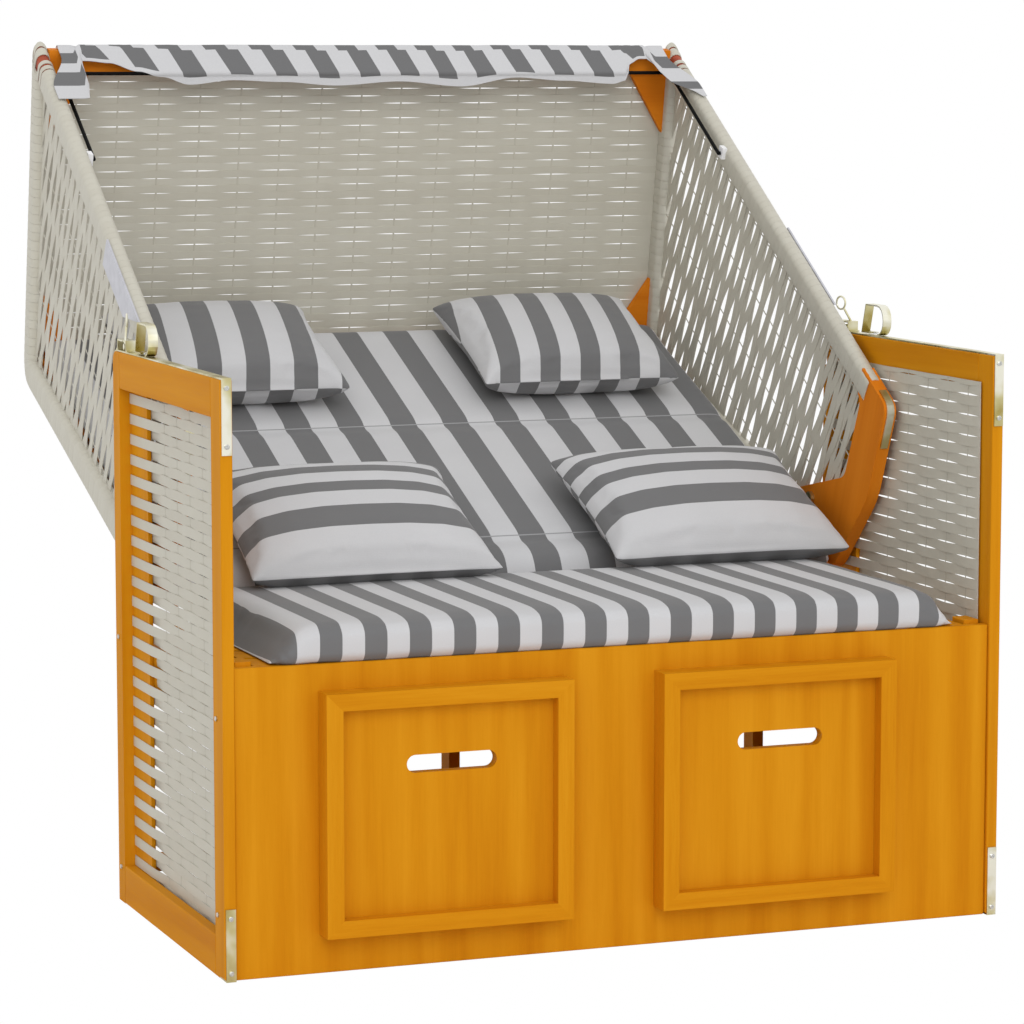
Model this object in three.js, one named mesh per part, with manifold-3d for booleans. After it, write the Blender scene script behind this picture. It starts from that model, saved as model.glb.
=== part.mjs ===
// A two-seat hooded beach chair: a wooden base with woven arms and two pull-out footrests,
// and a woven hood that tilts on two pivot pins and carries the back pad, pillows and canopy.
// Sizes are in millimetres. X runs across the seat, Y from front to back and Z up.
// The hood is drawn as it stands when the back is fully reclined.

import * as THREE from "three";
import { mergeVertices } from "three/addons/utils/BufferGeometryUtils.js";
import Module from "manifold-3d";

const wasm = await Module();
wasm.setup();

// Driving dimensions of the whole chair
const chairWidth = 1180;
const armDepth = 556;
const armHeight = 824;
const boardThickness = 17;
const panelHeight = 431;
const restingGap = 0.3;
const easedEdge = 1.2;
const drillOverrun = 5;

// Arms: two stiles and two rails each, with a woven panel behind them
const frontStileWidth = 46;
const rearStileWidth = 34;
const topRailHeight = 54;
const bottomRailHeight = 57;
const armWeaveThickness = 4;
const armWeaveLap = 14;
const rearLeafWidth = 124;
const rearLeafThickness = 6;

// Metal on the arms
const strapWidth = 14;
const strapThickness = 2.2;
const strapFrontDrop = 102;
const strapRearDrop = 67;
const strapRearBend = 16;
const lowStrapHeight = 101;
const lowStrapToe = 30;
const handleSetback = 194;
const handleLength = 76;
const handleHeight = 47;
const handleLean = 14;
const handleBend = 22;
const handleFootAngle = Math.PI * 25 / 18;
const latchSetback = 80;
const latchLength = 60;
const latchHeight = 16;
const latchFootLength = 8;
const latchStemRadius = 1.7;
const latchStemBack = 20;
const latchStemInward = 8;
const latchStemRise = 28;
const latchBoltSetback = 17;
const latchSlotLength = 10;
const latchSlotWall = 2;
const latchBoltRadius = 4.5;
const latchBoltStandout = 7.5;
const latchBoreDepth = 5;
const latchRingRadius = 10;
const latchRingWire = 1.5;
const latchRingTurnAngle = 0.29;

// Front panel and seat
const panelSetback = 5;
const seatRailThickness = 24;
const seatRailTop = 437;
const seatRailFrontLength = 38;
const seatRailLowTop = 394;
const seatRailDepth = 64;
const seatSideGap = 2.8;
const slatThickness = 15;
const slatWidth = 58;
const slatLeastGap = 10;
const battenWidth = 40;
const battenCount = 3;
const seatFrameRearGap = 122;

// Footrests
const footrestLeftMargin = 119.7;
const footrestMiddleGap = 136;
const footrestRightMargin = 165.7;
const footrestHeight = 339;
const footrestBottom = 55;
const footrestLap = 12;
const mouldingWidth = 24;
const mouldingThickness = 20;
const slotLength = 132;
const slotHeight = 25;
const slotCentreHeight = 287;
const slotOffset = 7;
const footrestSlideClearance = 4;
const footrestRearGap = 131;
const legWidth = 17;
const legDepth = 34;
const footrestRailHeight = 40;
const runnerHeight = 16;
const runnerWidth = 36;
const tieWidth = 60;

// Hood: the outline of one side, seen from the right, with the heel of the back at its origin.
// Its first number runs up the back, its second from the back towards the sitter.
const armHoodGap = 12.5;
const hoodSideThickness = 20;
const backLength = 825;
const peakAlong = 912;
const peakForward = 553;
const browAlong = -28;
const browForward = 335;
const chinAlong = -86;
const chinForward = 321;
const chinMiddleAlong = -76;
const chinMiddleForward = 160;
const cornerRounding = 30;
const peakRounding = 8;
const frontBarWidth = 42;
const rearBarWidth = 40;
const backBarWidth = 46;
const chinBoardWidth = 84;
const heelWebLength = 200;
const heelSetback = 71;
const heelDrop = 108;
const reclineAngle = 19.45;

// Pivot pins of the hood
const pivotSetback = 16;
const pivotHeight = 560;
const pivotRadius = 6;
const pivotHeadRadius = 11;
const pivotHeadThickness = 6;
const pivotBlindWall = 5;
const runningClearance = 0.1;

// Woven skins and the wooden ties of the hood
const skinThickness = 4;
const roofInset = 7;
const backSkinOffset = 2;
const beamWidth = 40;
const beamThickness = 20;
const beamSetback = 8;
const gussetLength = 106;
const gussetReach = 68;
const gussetThickness = 12;
const backSlatCount = 8;
const backSlatWidth = 60;
const backSlatThickness = 12;
const backFrameLength = 785;
const battenInset = 2;
const padTiltAngle = 3.15;
const padSeatOffset = 10;

// Openings of the hood's woven skins: plain ones, and one for every few that the strands leave
const skinRim = 14;
const stakeWidth = 4.2;
const sideOpeningLength = 88;
const sideOpeningWidth = 16;
const sideOpeningPitch = 93;
const sideOpeningRow = 99;
const sideFirstRow = 12.4;
const sideFirstOpening = 24;
const roofOpeningLength = 96;
const roofOpeningWidth = 3;
const roofOpeningPitch = 49.6;
const roofOpeningColumn = 139;
const roofFirstColumn = 67.9;
const roofFirstOpening = 62.5;

// Straps, rub plates and canopy fittings of the hood
const cornerStrapWidth = 12;
const cornerStrapLength = 70;
const rubPlateWidth = 46;
const rubPlateThickness = 3;
const rubPlateStart = 172;
const rubPlateLength = 212;
const rubPlateSlant = 78;
const rubPlateInset = 2;
const bowPivotAlong = 608;
const bowBarAlong = 846;
const bowInset = 15;
const bowSideGap = 11.5;
const bowRadius = 3;
const clipSize = 16;
const clipLift = 3;

// Canopy cloth
const clothThickness = 2.4;
const canopySideGap = 14.5;
const canopyFlare = 26;
const valanceDrop = 24;
const valanceWave = 9;
const valanceWaveLength = 270;
const flapReach = 96;
const flapWidth = 80;
const flapFullWidth = 26;
const flapLift = 5;

// Cushions
const seatCushionTop = 482;
const seatCushionSideGap = 52;
const seatCushionFlare = 33;
const seatCushionOverhang = 4;
const seatCushionRearGap = 126;
const seatCushionRounding = 12;
const seatCushionCrown = 5;
const seatCushionDrawIn = 9;
const padSideGap = 4.5;
const padLength = 818;
const padThickness = 33;
const padStart = -14;
const padSeamPlaces = [83, 453];
const padSeamDepth = 9;
const padSeamWidth = 16;
const padEdgeThickness = 12;
const pillowSeamThickness = 5;
const headPillow = { width: 340, depth: 290, height: 100, places: [628, 628], sideGaps: [75.5, 80.5] };
const seatPillow = { width: 380, depth: 320, height: 100, places: [56, 64], sideGaps: [89.5, 26.5] };

// Shares and counts that shape the soft forms
const pillowFullnessShare = 0.55;
const pillowDrawInShare = 0.045;
const pillowRoundnessPower = 2.6;
const pillowRows = 12;
const pillowPoints = 10;
const arcSteps = 8;
const rodSides = 12;
const boreSides = 24;
const ringSteps = 20;
const ringSides = 8;
const canopyColumns = 44;
const canopyRows = 8;

const degrees = Math.PI / 180;
const halfWidth = chairWidth / 2;
const armInner = halfWidth - boardThickness;
const armCentre = halfWidth - boardThickness / 2;
const handleStart = armDepth - handleSetback;
const latchStart = armDepth - latchSetback;
const panelHalfWidth = armInner - restingGap;
const footrestMargins = footrestLeftMargin + footrestMiddleGap + footrestRightMargin;
const footrestWidth = panelHalfWidth - footrestMargins / 2;
const footrestCentres = {
  left: -panelHalfWidth + footrestLeftMargin + footrestWidth / 2,
  right: panelHalfWidth - footrestRightMargin - footrestWidth / 2,
};
const pivotBack = armDepth - pivotSetback;
const heelBack = pivotBack - heelSetback;
const heelHeight = pivotHeight - heelDrop;
const hoodOuter = armInner - armHoodGap;
const hoodHalfWidth = hoodOuter - hoodSideThickness / 2;
const hoodInner = hoodOuter - hoodSideThickness;
const bowHalfWidth = hoodInner - bowSideGap;
const sides = [["left", -1], ["right", 1]];

// Finishes
function finish(color, roughness, metalness) {
  return new THREE.MeshStandardMaterial({ color, roughness, metalness });
}
const stainedWood = () => finish(0xcf8a1c, 0.55, 0);
const rattan = () => finish(0xb2ac9b, 0.6, 0);
const yellowZinc = () => finish(0xc8be82, 0.3, 0.9);
const blackSteel = () => finish(0x141414, 0.45, 0.6);
const whitePlastic = () => finish(0xececec, 0.45, 0);
const stripedCloth = () => finish(0xc8c8ca, 0.9, 0);
const greyCloth = () => finish(0x8a8a8a, 0.9, 0);

// Adds one named piece to a group.
function addPiece(parent, name, geometry, material) {
  const mesh = new THREE.Mesh(geometry, material);
  mesh.name = name;
  parent.add(mesh);
  return mesh;
}

// Joining and cutting
function toManifold(geometry) {
  const bare = geometry.clone();
  bare.deleteAttribute("normal");
  bare.deleteAttribute("uv");
  const merged = mergeVertices(bare);
  return new wasm.Manifold(new wasm.Mesh({
    numProp: 3,
    vertProperties: new Float32Array(merged.attributes.position.array),
    triVerts: new Uint32Array(merged.index.array),
  }));
}

function toGeometry(solid) {
  const mesh = solid.getMesh();
  const geometry = new THREE.BufferGeometry();
  geometry.setAttribute("position", new THREE.BufferAttribute(mesh.vertProperties, 3));
  geometry.setIndex(new THREE.BufferAttribute(mesh.triVerts, 1));
  geometry.computeVertexNormals();
  return geometry;
}

function join(geometries) {
  return toGeometry(geometries.map(toManifold).reduce((whole, next) => whole.add(next)));
}

function cut(geometry, tools) {
  return toGeometry(tools.map(toManifold).reduce((rest, tool) => rest.subtract(tool), toManifold(geometry)));
}

// Cuts the openings through a skin, as far as they lie inside its rim, and leaves out the
// ones of which less than half would be left.
function pierce(skin, rim, openings) {
  const inside = toManifold(rim);
  const kept = openings.map(toManifold).map((opening) => [opening.volume(), opening.intersect(inside)])
    .filter(([whole, left]) => left.volume() > whole / 2)
    .map(([, left]) => left);
  return toGeometry(kept.reduce((rest, opening) => rest.subtract(opening), toManifold(skin)));
}

// Turns a flat outline, drawn in Y and Z, into a plate of the given thickness centred on x = 0.
const acrossX = new THREE.Matrix4().makeBasis(
  new THREE.Vector3(0, 1, 0),
  new THREE.Vector3(0, 0, 1),
  new THREE.Vector3(1, 0, 0),
);

function plate(shape, thickness, edge = 0) {
  const depth = thickness - 2 * edge;
  const geometry = new THREE.ExtrudeGeometry(shape, {
    depth,
    bevelEnabled: edge > 0,
    bevelThickness: edge,
    bevelSize: edge,
    bevelOffset: -edge,
    bevelSegments: 1,
    curveSegments: arcSteps,
  });
  geometry.translate(0, 0, -depth / 2);
  return geometry.applyMatrix4(acrossX);
}

function outline(points) {
  return new THREE.Shape(points.map(([a, b]) => new THREE.Vector2(a, b)));
}

// A board between two corners, with all its edges eased.
function boardShape(low, high, edge) {
  const [, y0, z0] = low;
  const [, y1, z1] = high;
  return outline([
    [y0 + edge, z0], [y1 - edge, z0], [y1, z0 + edge], [y1, z1 - edge],
    [y1 - edge, z1], [y0 + edge, z1], [y0, z1 - edge], [y0, z0 + edge],
  ]);
}

function board(low, high, edge = easedEdge) {
  const geometry = plate(boardShape(low, high, edge), high[0] - low[0], edge);
  return geometry.translate((low[0] + high[0]) / 2, 0, 0);
}

function plainBlock(low, high) {
  const size = high.map((value, axis) => value - low[axis]);
  const geometry = new THREE.BoxGeometry(...size);
  return geometry.translate(...high.map((value, axis) => (value + low[axis]) / 2));
}

// Orders two x values, so that a piece of either side can be written once.
function span(side, inner, outer) {
  return side > 0 ? [inner, outer] : [-outer, -inner];
}

function sideBoard(side, inner, outer, y, z, edge = easedEdge) {
  const [x0, x1] = span(side, inner, outer);
  return board([x0, y[0], z[0]], [x1, y[1], z[1]], edge);
}

// A round rod along X.
function rodX(radius, x0, x1, y, z, roundSides = rodSides) {
  const geometry = new THREE.CylinderGeometry(radius, radius, Math.abs(x1 - x0), roundSides);
  geometry.rotateZ(Math.PI / 2);
  return geometry.translate((x0 + x1) / 2, y, z);
}

// The tool for a round bore along X, wide enough that its flats clear the rod that turns in it.
function boreX(rodRadius, x0, x1, y, z) {
  return rodX((rodRadius + runningClearance) / Math.cos(Math.PI / boreSides), x0, x1, y, z, boreSides);
}

// A bent rod: straight runs with a ball at each bend.
function bentRod(points, radius) {
  const parts = [];
  points.forEach((point, index) => {
    if (index > 0) {
      const start = points[index - 1];
      const run = point.clone().sub(start);
      const rod = new THREE.CylinderGeometry(radius, radius, run.length(), rodSides);
      const upright = new THREE.Vector3(0, 1, 0);
      const turn = new THREE.Quaternion().setFromUnitVectors(upright, run.clone().normalize());
      rod.applyQuaternion(turn);
      const middle = start.clone().add(point).multiplyScalar(1 / 2);
      parts.push(rod.translate(middle.x, middle.y, middle.z));
    }
    if (index > 0 && index < points.length - 1) {
      const ball = new THREE.SphereGeometry(radius, rodSides, rodSides / 2);
      parts.push(ball.translate(point.x, point.y, point.z));
    }
  });
  return join(parts);
}

// Moves a line in Y and Z sideways, to the left of its own direction.
function offsetLine(line, distance) {
  const step = (from, to) => {
    const run = Math.hypot(to[0] - from[0], to[1] - from[1]);
    return [(from[1] - to[1]) / run, (to[0] - from[0]) / run];
  };
  return line.map((point, index) => {
    const first = index > 0 ? step(line[index - 1], point) : step(point, line[index + 1]);
    const second = index < line.length - 1 ? step(point, line[index + 1]) : first;
    const sum = [first[0] + second[0], first[1] + second[1]];
    const scale = distance * 2 / (sum[0] ** 2 + sum[1] ** 2);
    return [point[0] + sum[0] * scale, point[1] + sum[1] * scale];
  });
}

// A flat strip of metal that lies along a line, on its left side and a gap away from it.
function strip(line, thickness, width, gap = 0) {
  const inner = gap > 0 ? offsetLine(line, gap) : line;
  return plate(outline([...inner, ...offsetLine(line, gap + thickness).reverse()]), width);
}

function arcPoints(y, z, radius, from, to, count) {
  return Array.from({ length: count + 1 }, (_, step) => {
    const angle = from + (to - from) * step / count;
    return [y + radius * Math.cos(angle), z + radius * Math.sin(angle)];
  });
}

// Skins a row of closed rings, each with the same number of points, and closes both ends.
function loft(rings) {
  const count = rings[0].length;
  const positions = rings.flat(2);
  const index = [];
  for (let ring = 0; ring < rings.length - 1; ring += 1) {
    for (let step = 0; step < count; step += 1) {
      const a = ring * count + step;
      const b = ring * count + (step + 1) % count;
      index.push(a, b, b + count, a, b + count, a + count);
    }
  }
  for (let step = 1; step < count - 1; step += 1) {
    const last = (rings.length - 1) * count;
    index.push(0, step + 1, step, last, last + step, last + step + 1);
  }
  const geometry = new THREE.BufferGeometry();
  geometry.setAttribute("position", new THREE.Float32BufferAttribute(positions, 3));
  geometry.setIndex(index);
  geometry.computeVertexNormals();
  return geometry;
}

const chair = new THREE.Group();
const base = new THREE.Group();
chair.add(base);

// Arms
const strapLift = strapThickness + restingGap;
const handleFoot = armHeight + restingGap + strapLift;
const bridgeUnder = handleFoot + latchHeight - strapThickness;
const boltHeight = (handleFoot + bridgeUnder) / 2;
const boltBack = latchStart + latchBoltSetback;
for (const [word, side] of sides) {
  const frontStile = plate(outline([
    [lowStrapToe, 0], [frontStileWidth, 0], [frontStileWidth, armHeight],
    [0, armHeight], [0, strapLift], [lowStrapToe, strapLift],
  ]), boardThickness, easedEdge).translate(side * armCentre, 0, 0);
  addPiece(base, `arm_front_stile_${word}`, frontStile, stainedWood());

  // The rear stile has a thin inner leaf, which the panel's strands pass around.
  const leafInner = armInner - rearLeafThickness;
  const rearBoard = plainBlock(
    [span(side, armInner - restingGap, halfWidth)[0], armDepth - rearStileWidth, 0],
    [span(side, armInner - restingGap, halfWidth)[1], armDepth, armHeight],
  );
  const leaf = plainBlock(
    [span(side, leafInner, armInner)[0], armDepth - rearLeafWidth, 0],
    [span(side, leafInner, armInner)[1], armDepth, armHeight - topRailHeight],
  );
  const bore = rodX(
    pivotRadius + restingGap, side * (leafInner - drillOverrun),
    side * (halfWidth - pivotBlindWall), pivotBack, pivotHeight,
  );
  addPiece(base, `arm_rear_stile_${word}`, cut(join([rearBoard, leaf]), [bore]), stainedWood());

  const railSpan = [frontStileWidth + restingGap, armDepth - rearStileWidth - restingGap];
  const topRail = sideBoard(side, armInner, halfWidth, railSpan, [armHeight - topRailHeight, armHeight]);
  addPiece(base, `arm_top_rail_${word}`, topRail, stainedWood());
  const bottomRail = sideBoard(side, armInner, halfWidth, railSpan, [0, bottomRailHeight]);
  addPiece(base, `arm_bottom_rail_${word}`, bottomRail, stainedWood());

  const weaveOuter = armInner - restingGap;
  const [weaveLow, weaveHigh] = span(side, weaveOuter - armWeaveThickness, weaveOuter);
  const armWeave = plainBlock(
    [weaveLow, frontStileWidth - armWeaveLap, bottomRailHeight - armWeaveLap],
    [weaveHigh, armDepth - rearLeafWidth - restingGap, armHeight - topRailHeight + armWeaveLap],
  );
  addPiece(base, `arm_weave_${word}`, armWeave, rattan());

  // The long strap covers the arm's top and turns down at both ends.
  const topLine = [
    [-restingGap, armHeight - strapFrontDrop],
    [-restingGap, armHeight + restingGap],
    ...arcPoints(armDepth + restingGap - strapRearBend, armHeight + restingGap - strapRearBend,
      strapRearBend, Math.PI / 2, 0, arcSteps / 2),
    [armDepth + restingGap, armHeight - strapRearDrop],
  ];
  const clearCorner = plainBlock(
    [-halfWidth * 2, armDepth - strapRearBend, armHeight - strapRearBend],
    [halfWidth * 2, armDepth + drillOverrun, armHeight + drillOverrun],
  );
  const topStrap = strip(topLine, strapThickness, strapWidth).translate(side * armCentre, 0, 0);
  addPiece(base, `arm_top_strap_${word}`, topStrap, yellowZinc());
  const rounding = plate(new THREE.Shape().absarc(
    armDepth - strapRearBend, armHeight - strapRearBend, strapRearBend, 0, Math.PI * 2,
  ), chairWidth * 2);
  const corner = cut(clearCorner, [rounding]);
  const stile = base.children.find((piece) => piece.name === `arm_rear_stile_${word}`);
  stile.geometry = cut(stile.geometry, [corner]);

  const lowLine = [
    [lowStrapToe - restingGap, strapThickness],
    [-restingGap, strapThickness],
    [-restingGap, lowStrapHeight],
  ];
  const lowStrap = strip(lowLine, strapThickness, strapWidth).translate(side * armCentre, 0, 0);
  addPiece(base, `arm_bottom_strap_${word}`, lowStrap, yellowZinc());

  // Carrying handle: a bent flat loop that stands on the top strap
  const handleRear = handleStart + handleLength;
  const handleTop = handleFoot + handleHeight;
  const bendCentre = handleStart + handleBend;
  const bendSteps = arcSteps / 2;
  const handleLine = [
    [bendCentre, handleFoot],
    ...arcPoints(bendCentre, handleFoot + handleBend, handleBend, handleFootAngle, Math.PI, bendSteps),
    ...arcPoints(bendCentre, handleTop - handleBend, handleBend, Math.PI, Math.PI / 2, bendSteps),
    [handleRear - handleLean, handleTop],
    [handleRear, handleFoot + strapThickness],
    [bendCentre + handleBend, handleFoot + strapThickness],
  ];
  const handleInner = strip(handleLine.reverse(), strapThickness, strapWidth);
  addPiece(base, `arm_handle_${word}`, handleInner.translate(side * armCentre, 0, 0), yellowZinc());

  // Latch bracket: a low bridge on the arm, with a hole for the ring pin
  const latchEnd = latchStart + latchLength;
  const bridgeLine = [
    [latchStart, handleFoot],
    [latchStart + latchFootLength, handleFoot],
    [latchStart + latchFootLength, bridgeUnder],
    [latchEnd - latchFootLength, bridgeUnder],
    [latchEnd - latchFootLength, handleFoot],
    [latchEnd, handleFoot],
  ];
  const stemFoot = new THREE.Vector3(side * (halfWidth - latchStemRadius), boltBack, boltHeight);
  const stemRun = new THREE.Vector3(-side * latchStemInward, latchStemBack, latchStemRise);
  const stemEnd = stemFoot.clone().add(stemRun);
  const lean = stemEnd.clone().sub(stemFoot).normalize();
  const slotEnds = span(side, armInner + latchSlotWall, halfWidth + drillOverrun);
  const stemSlot = plainBlock(
    [slotEnds[0], boltBack + latchStemRadius, bridgeUnder - restingGap],
    [slotEnds[1], boltBack + latchSlotLength, bridgeUnder + drillOverrun],
  );
  const bridge = strip(bridgeLine, strapThickness, boardThickness).translate(side * armCentre, 0, 0);
  addPiece(base, `latch_bracket_${word}`, cut(bridge, [stemSlot]), yellowZinc());

  const ring = new THREE.TorusGeometry(latchRingRadius, latchRingWire, ringSides, ringSteps);
  ring.rotateY(Math.PI / 2);
  ring.rotateZ(side * latchRingTurnAngle);
  const ringCentre = stemEnd.clone().addScaledVector(lean, latchRingRadius);
  ring.translate(ringCentre.x, ringCentre.y, ringCentre.z);
  const bolt = rodX(
    latchBoltRadius, side * (armInner - latchBoltStandout), side * halfWidth, boltBack, boltHeight,
  );
  const pin = join([bolt, bentRod([stemFoot, stemEnd], latchStemRadius), ring]);
  const pinGroup = new THREE.Group();
  chair.add(pinGroup);
  addPiece(pinGroup, `latch_pin_${word}`, pin, yellowZinc());

  // Pivot pin of the hood: fixed in the stile, with its head inside the hood
  const headOuter = hoodInner - restingGap;
  const pivotTip = halfWidth - pivotBlindWall - restingGap;
  const pivot = join([
    rodX(pivotRadius, side * headOuter, side * pivotTip, pivotBack, pivotHeight),
    rodX(pivotHeadRadius, side * (headOuter - pivotHeadThickness), side * headOuter, pivotBack, pivotHeight),
  ]);
  addPiece(base, `pivot_pin_${word}`, pivot, yellowZinc());

  // Seat rail, with a higher block at its front end
  const railOuter = leafInner - restingGap;
  const railFront = panelSetback + boardThickness + restingGap;
  const seatRail = plate(outline([
    [railFront, seatRailLowTop - seatRailDepth], [armDepth, seatRailLowTop - seatRailDepth],
    [armDepth, seatRailLowTop], [railFront + seatRailFrontLength, seatRailLowTop],
    [railFront + seatRailFrontLength, seatRailTop], [railFront, seatRailTop],
  ]), seatRailThickness, easedEdge).translate(side * (railOuter - seatRailThickness / 2), 0, 0);
  addPiece(base, `seat_rail_${word}`, seatRail, stainedWood());
}

// Front panel with an opening behind each footrest
const openingBottom = footrestBottom + footrestLap;
const openingTop = footrestBottom + footrestHeight - footrestLap;
const openingHalfWidth = footrestWidth / 2 - footrestLap;
const panelOpenings = Object.values(footrestCentres).map((centre) => plainBlock(
  [centre - openingHalfWidth, panelSetback - drillOverrun, openingBottom],
  [centre + openingHalfWidth, panelSetback + boardThickness + drillOverrun, openingTop],
));
const panel = board(
  [-panelHalfWidth, panelSetback, 0], [panelHalfWidth, panelSetback + boardThickness, panelHeight],
);
addPiece(base, "front_panel", cut(panel, panelOpenings), stainedWood());

// Stands an outline that is drawn in X and Z upright, with its front face at the given y.
function uprightPlate(shape, front, thickness) {
  const geometry = new THREE.ExtrudeGeometry(shape, {
    depth: thickness, bevelEnabled: false, curveSegments: arcSteps,
  });
  geometry.rotateX(Math.PI / 2);
  return geometry.translate(0, front + thickness, 0);
}

// Seat frame: cross slats joined by battens under them
const seatHalfWidth = armInner - rearLeafThickness - restingGap - seatRailThickness - seatSideGap;
const seatFront = panelSetback + boardThickness + restingGap;
const seatTop = panelHeight;
const seatFrameLength = armDepth - seatFrameRearGap - seatFront;
const slatCount = Math.floor((seatFrameLength + slatLeastGap) / (slatWidth + slatLeastGap));
const slatPitch = (seatFrameLength - slatWidth) / (slatCount - 1);
const seatParts = [];
for (let slat = 0; slat < slatCount; slat += 1) {
  const y = seatFront + slat * slatPitch;
  seatParts.push(plainBlock(
    [-seatHalfWidth, y, seatTop - slatThickness], [seatHalfWidth, y + slatWidth, seatTop],
  ));
}
for (let batten = 0; batten < battenCount; batten += 1) {
  const reach = seatHalfWidth - battenWidth / 2;
  const x = -reach + 2 * reach * batten / (battenCount - 1);
  seatParts.push(plainBlock(
    [x - battenWidth / 2, seatFront, seatTop - slatThickness * 2],
    [x + battenWidth / 2, seatFront + seatFrameLength, seatTop - slatThickness],
  ));
}
addPiece(base, "seat_slats", join(seatParts), stainedWood());

// Runner frame: the rails that the footrests slide on, and the rear tie between the arms
const runnerTop = openingBottom - restingGap;
const runnerFront = panelSetback + boardThickness + restingGap;
const runnerRear = armDepth;
const runnerParts = [plainBlock(
  [-armInner + rearLeafThickness + restingGap, runnerRear - tieWidth, runnerTop - runnerHeight],
  [armInner - rearLeafThickness - restingGap, runnerRear, runnerTop],
)];
for (const centre of Object.values(footrestCentres)) {
  for (const edge of [-1, 1]) {
    const x = centre + edge * (openingHalfWidth - runnerWidth / 2);
    runnerParts.push(plainBlock(
      [x - runnerWidth / 2, runnerFront, runnerTop - runnerHeight],
      [x + runnerWidth / 2, runnerRear, runnerTop],
    ));
  }
}
addPiece(base, "runner_frame", join(runnerParts), stainedWood());

// Footrests
for (const [word] of sides) {
  const centre = footrestCentres[word];
  const group = new THREE.Group();
  group.position.x = centre;
  chair.add(group);
  const halfFoot = footrestWidth / 2;
  const top = footrestBottom + footrestHeight;
  const boardFront = panelSetback - restingGap - boardThickness;
  const face = outline([
    [-halfFoot, footrestBottom], [halfFoot, footrestBottom], [halfFoot, top], [-halfFoot, top],
  ]);
  const slotEnd = (slotLength - slotHeight) / 2;
  const slot = new THREE.Path();
  slot.absarc(slotOffset + slotEnd, slotCentreHeight, slotHeight / 2, -Math.PI / 2, Math.PI / 2, false);
  slot.absarc(slotOffset - slotEnd, slotCentreHeight, slotHeight / 2, Math.PI / 2, Math.PI * 3 / 2, false);
  face.holes.push(slot);
  addPiece(group, `footrest_front_${word}`, uprightPlate(face, boardFront, boardThickness), stainedWood());

  const frame = outline([
    [-halfFoot, footrestBottom], [halfFoot, footrestBottom], [halfFoot, top], [-halfFoot, top],
  ]);
  const innerHalf = halfFoot - mouldingWidth;
  frame.holes.push(new THREE.Path([
    [-innerHalf, footrestBottom + mouldingWidth], [-innerHalf, top - mouldingWidth],
    [innerHalf, top - mouldingWidth], [innerHalf, footrestBottom + mouldingWidth],
  ].map(([x, z]) => new THREE.Vector2(x, z))));
  const mouldingFront = boardFront - restingGap - mouldingThickness;
  const moulding = uprightPlate(frame, mouldingFront, mouldingThickness);
  addPiece(group, `footrest_moulding_${word}`, moulding, stainedWood());

  // The top of the footrest, and the legs and low rails that carry it on the runners
  const bodyHalf = openingHalfWidth - footrestSlideClearance;
  const bodyFront = panelSetback;
  const footrestDepth = armDepth - footrestRearGap - bodyFront;
  const bodyTop = openingTop - footrestSlideClearance;
  const topUnder = bodyTop - boardThickness;
  const topBoard = board([-bodyHalf, bodyFront, topUnder], [bodyHalf, bodyFront + footrestDepth, bodyTop]);
  addPiece(group, `footrest_top_${word}`, topBoard, stainedWood());
  const legBottom = openingBottom + restingGap;
  const legRear = bodyFront + footrestDepth;
  const carrier = [plainBlock(
    [-bodyHalf, legRear - legWidth, legBottom], [bodyHalf, legRear, legBottom + footrestRailHeight],
  )];
  for (const edge of [-1, 1]) {
    const [x0, x1] = span(edge, bodyHalf - legWidth, bodyHalf);
    carrier.push(plainBlock([x0, legRear - legDepth, legBottom], [x1, legRear, topUnder - restingGap]));
    carrier.push(plainBlock([x0, bodyFront, legBottom], [x1, legRear, legBottom + footrestRailHeight]));
    carrier.push(plainBlock([x0, bodyFront, legBottom], [x1, bodyFront + legDepth, topUnder - restingGap]));
  }
  addPiece(group, `footrest_legs_${word}`, join(carrier), stainedWood());
}

// Seat cushion: flared sides that are drawn in, a crown on top and a square front
const cushionFront = -seatCushionOverhang;
const cushionFoot = seatTop + restingGap;
function seatCushionRing(y, shrink) {
  const foot = armInner - seatCushionSideGap - shrink;
  const shoulder = foot - seatCushionFlare;
  const waist = (foot + shoulder) / 2 - seatCushionDrawIn;
  const low = cushionFoot + shrink;
  const high = seatCushionTop - shrink - seatCushionCrown;
  const crown = seatCushionCrown;
  const right = [[foot, low], [waist, (low + high) / 2], [shoulder, high - seatCushionRounding / 2]];
  const over = [
    [shoulder - seatCushionRounding, high + crown / 2], [shoulder / 2, high + crown],
    [0, high + crown], [-shoulder / 2, high + crown], [-shoulder + seatCushionRounding, high + crown / 2],
  ];
  const left = right.map(([x, z]) => [-x, z]).reverse();
  return [...right, ...over, ...left].map(([x, z]) => [x, y, z]);
}
const cushionRear = armDepth - seatCushionRearGap;
const quarter = [0, 1 / 3, 2 / 3, 1];
const softRows = quarter.map((share) => [
  seatCushionRounding * (1 - Math.cos(share * Math.PI / 2)),
  seatCushionRounding * (1 - Math.sin(share * Math.PI / 2)),
]);
const cushionStations = [
  ...softRows.map(([inward, shrink]) => [cushionFront + inward, shrink]),
  [(cushionFront + cushionRear) / 2, 0],
  ...softRows.map(([inward, shrink]) => [cushionRear - inward, shrink]).reverse(),
];
const cushionRings = cushionStations.map(([y, shrink]) => seatCushionRing(y, shrink));
addPiece(base, "seat_cushion", loft(cushionRings.reverse()), stripedCloth());

// Hood
const hood = new THREE.Group();
hood.position.set(0, heelBack, heelHeight);
hood.rotation.x = reclineAngle * degrees;
chair.add(hood);

function hoodLocal(y, z) {
  const away = new THREE.Vector2(y - heelBack, z - heelHeight);
  const turned = away.rotateAround(new THREE.Vector2(), -reclineAngle * degrees);
  return [turned.x, turned.y];
}
const frontSlope = (peakForward - browForward) / (peakAlong - browAlong);
const frontEdge = (along) => browForward + (along - browAlong) * frontSlope;
const frontAngle = Math.atan(frontSlope);

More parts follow.
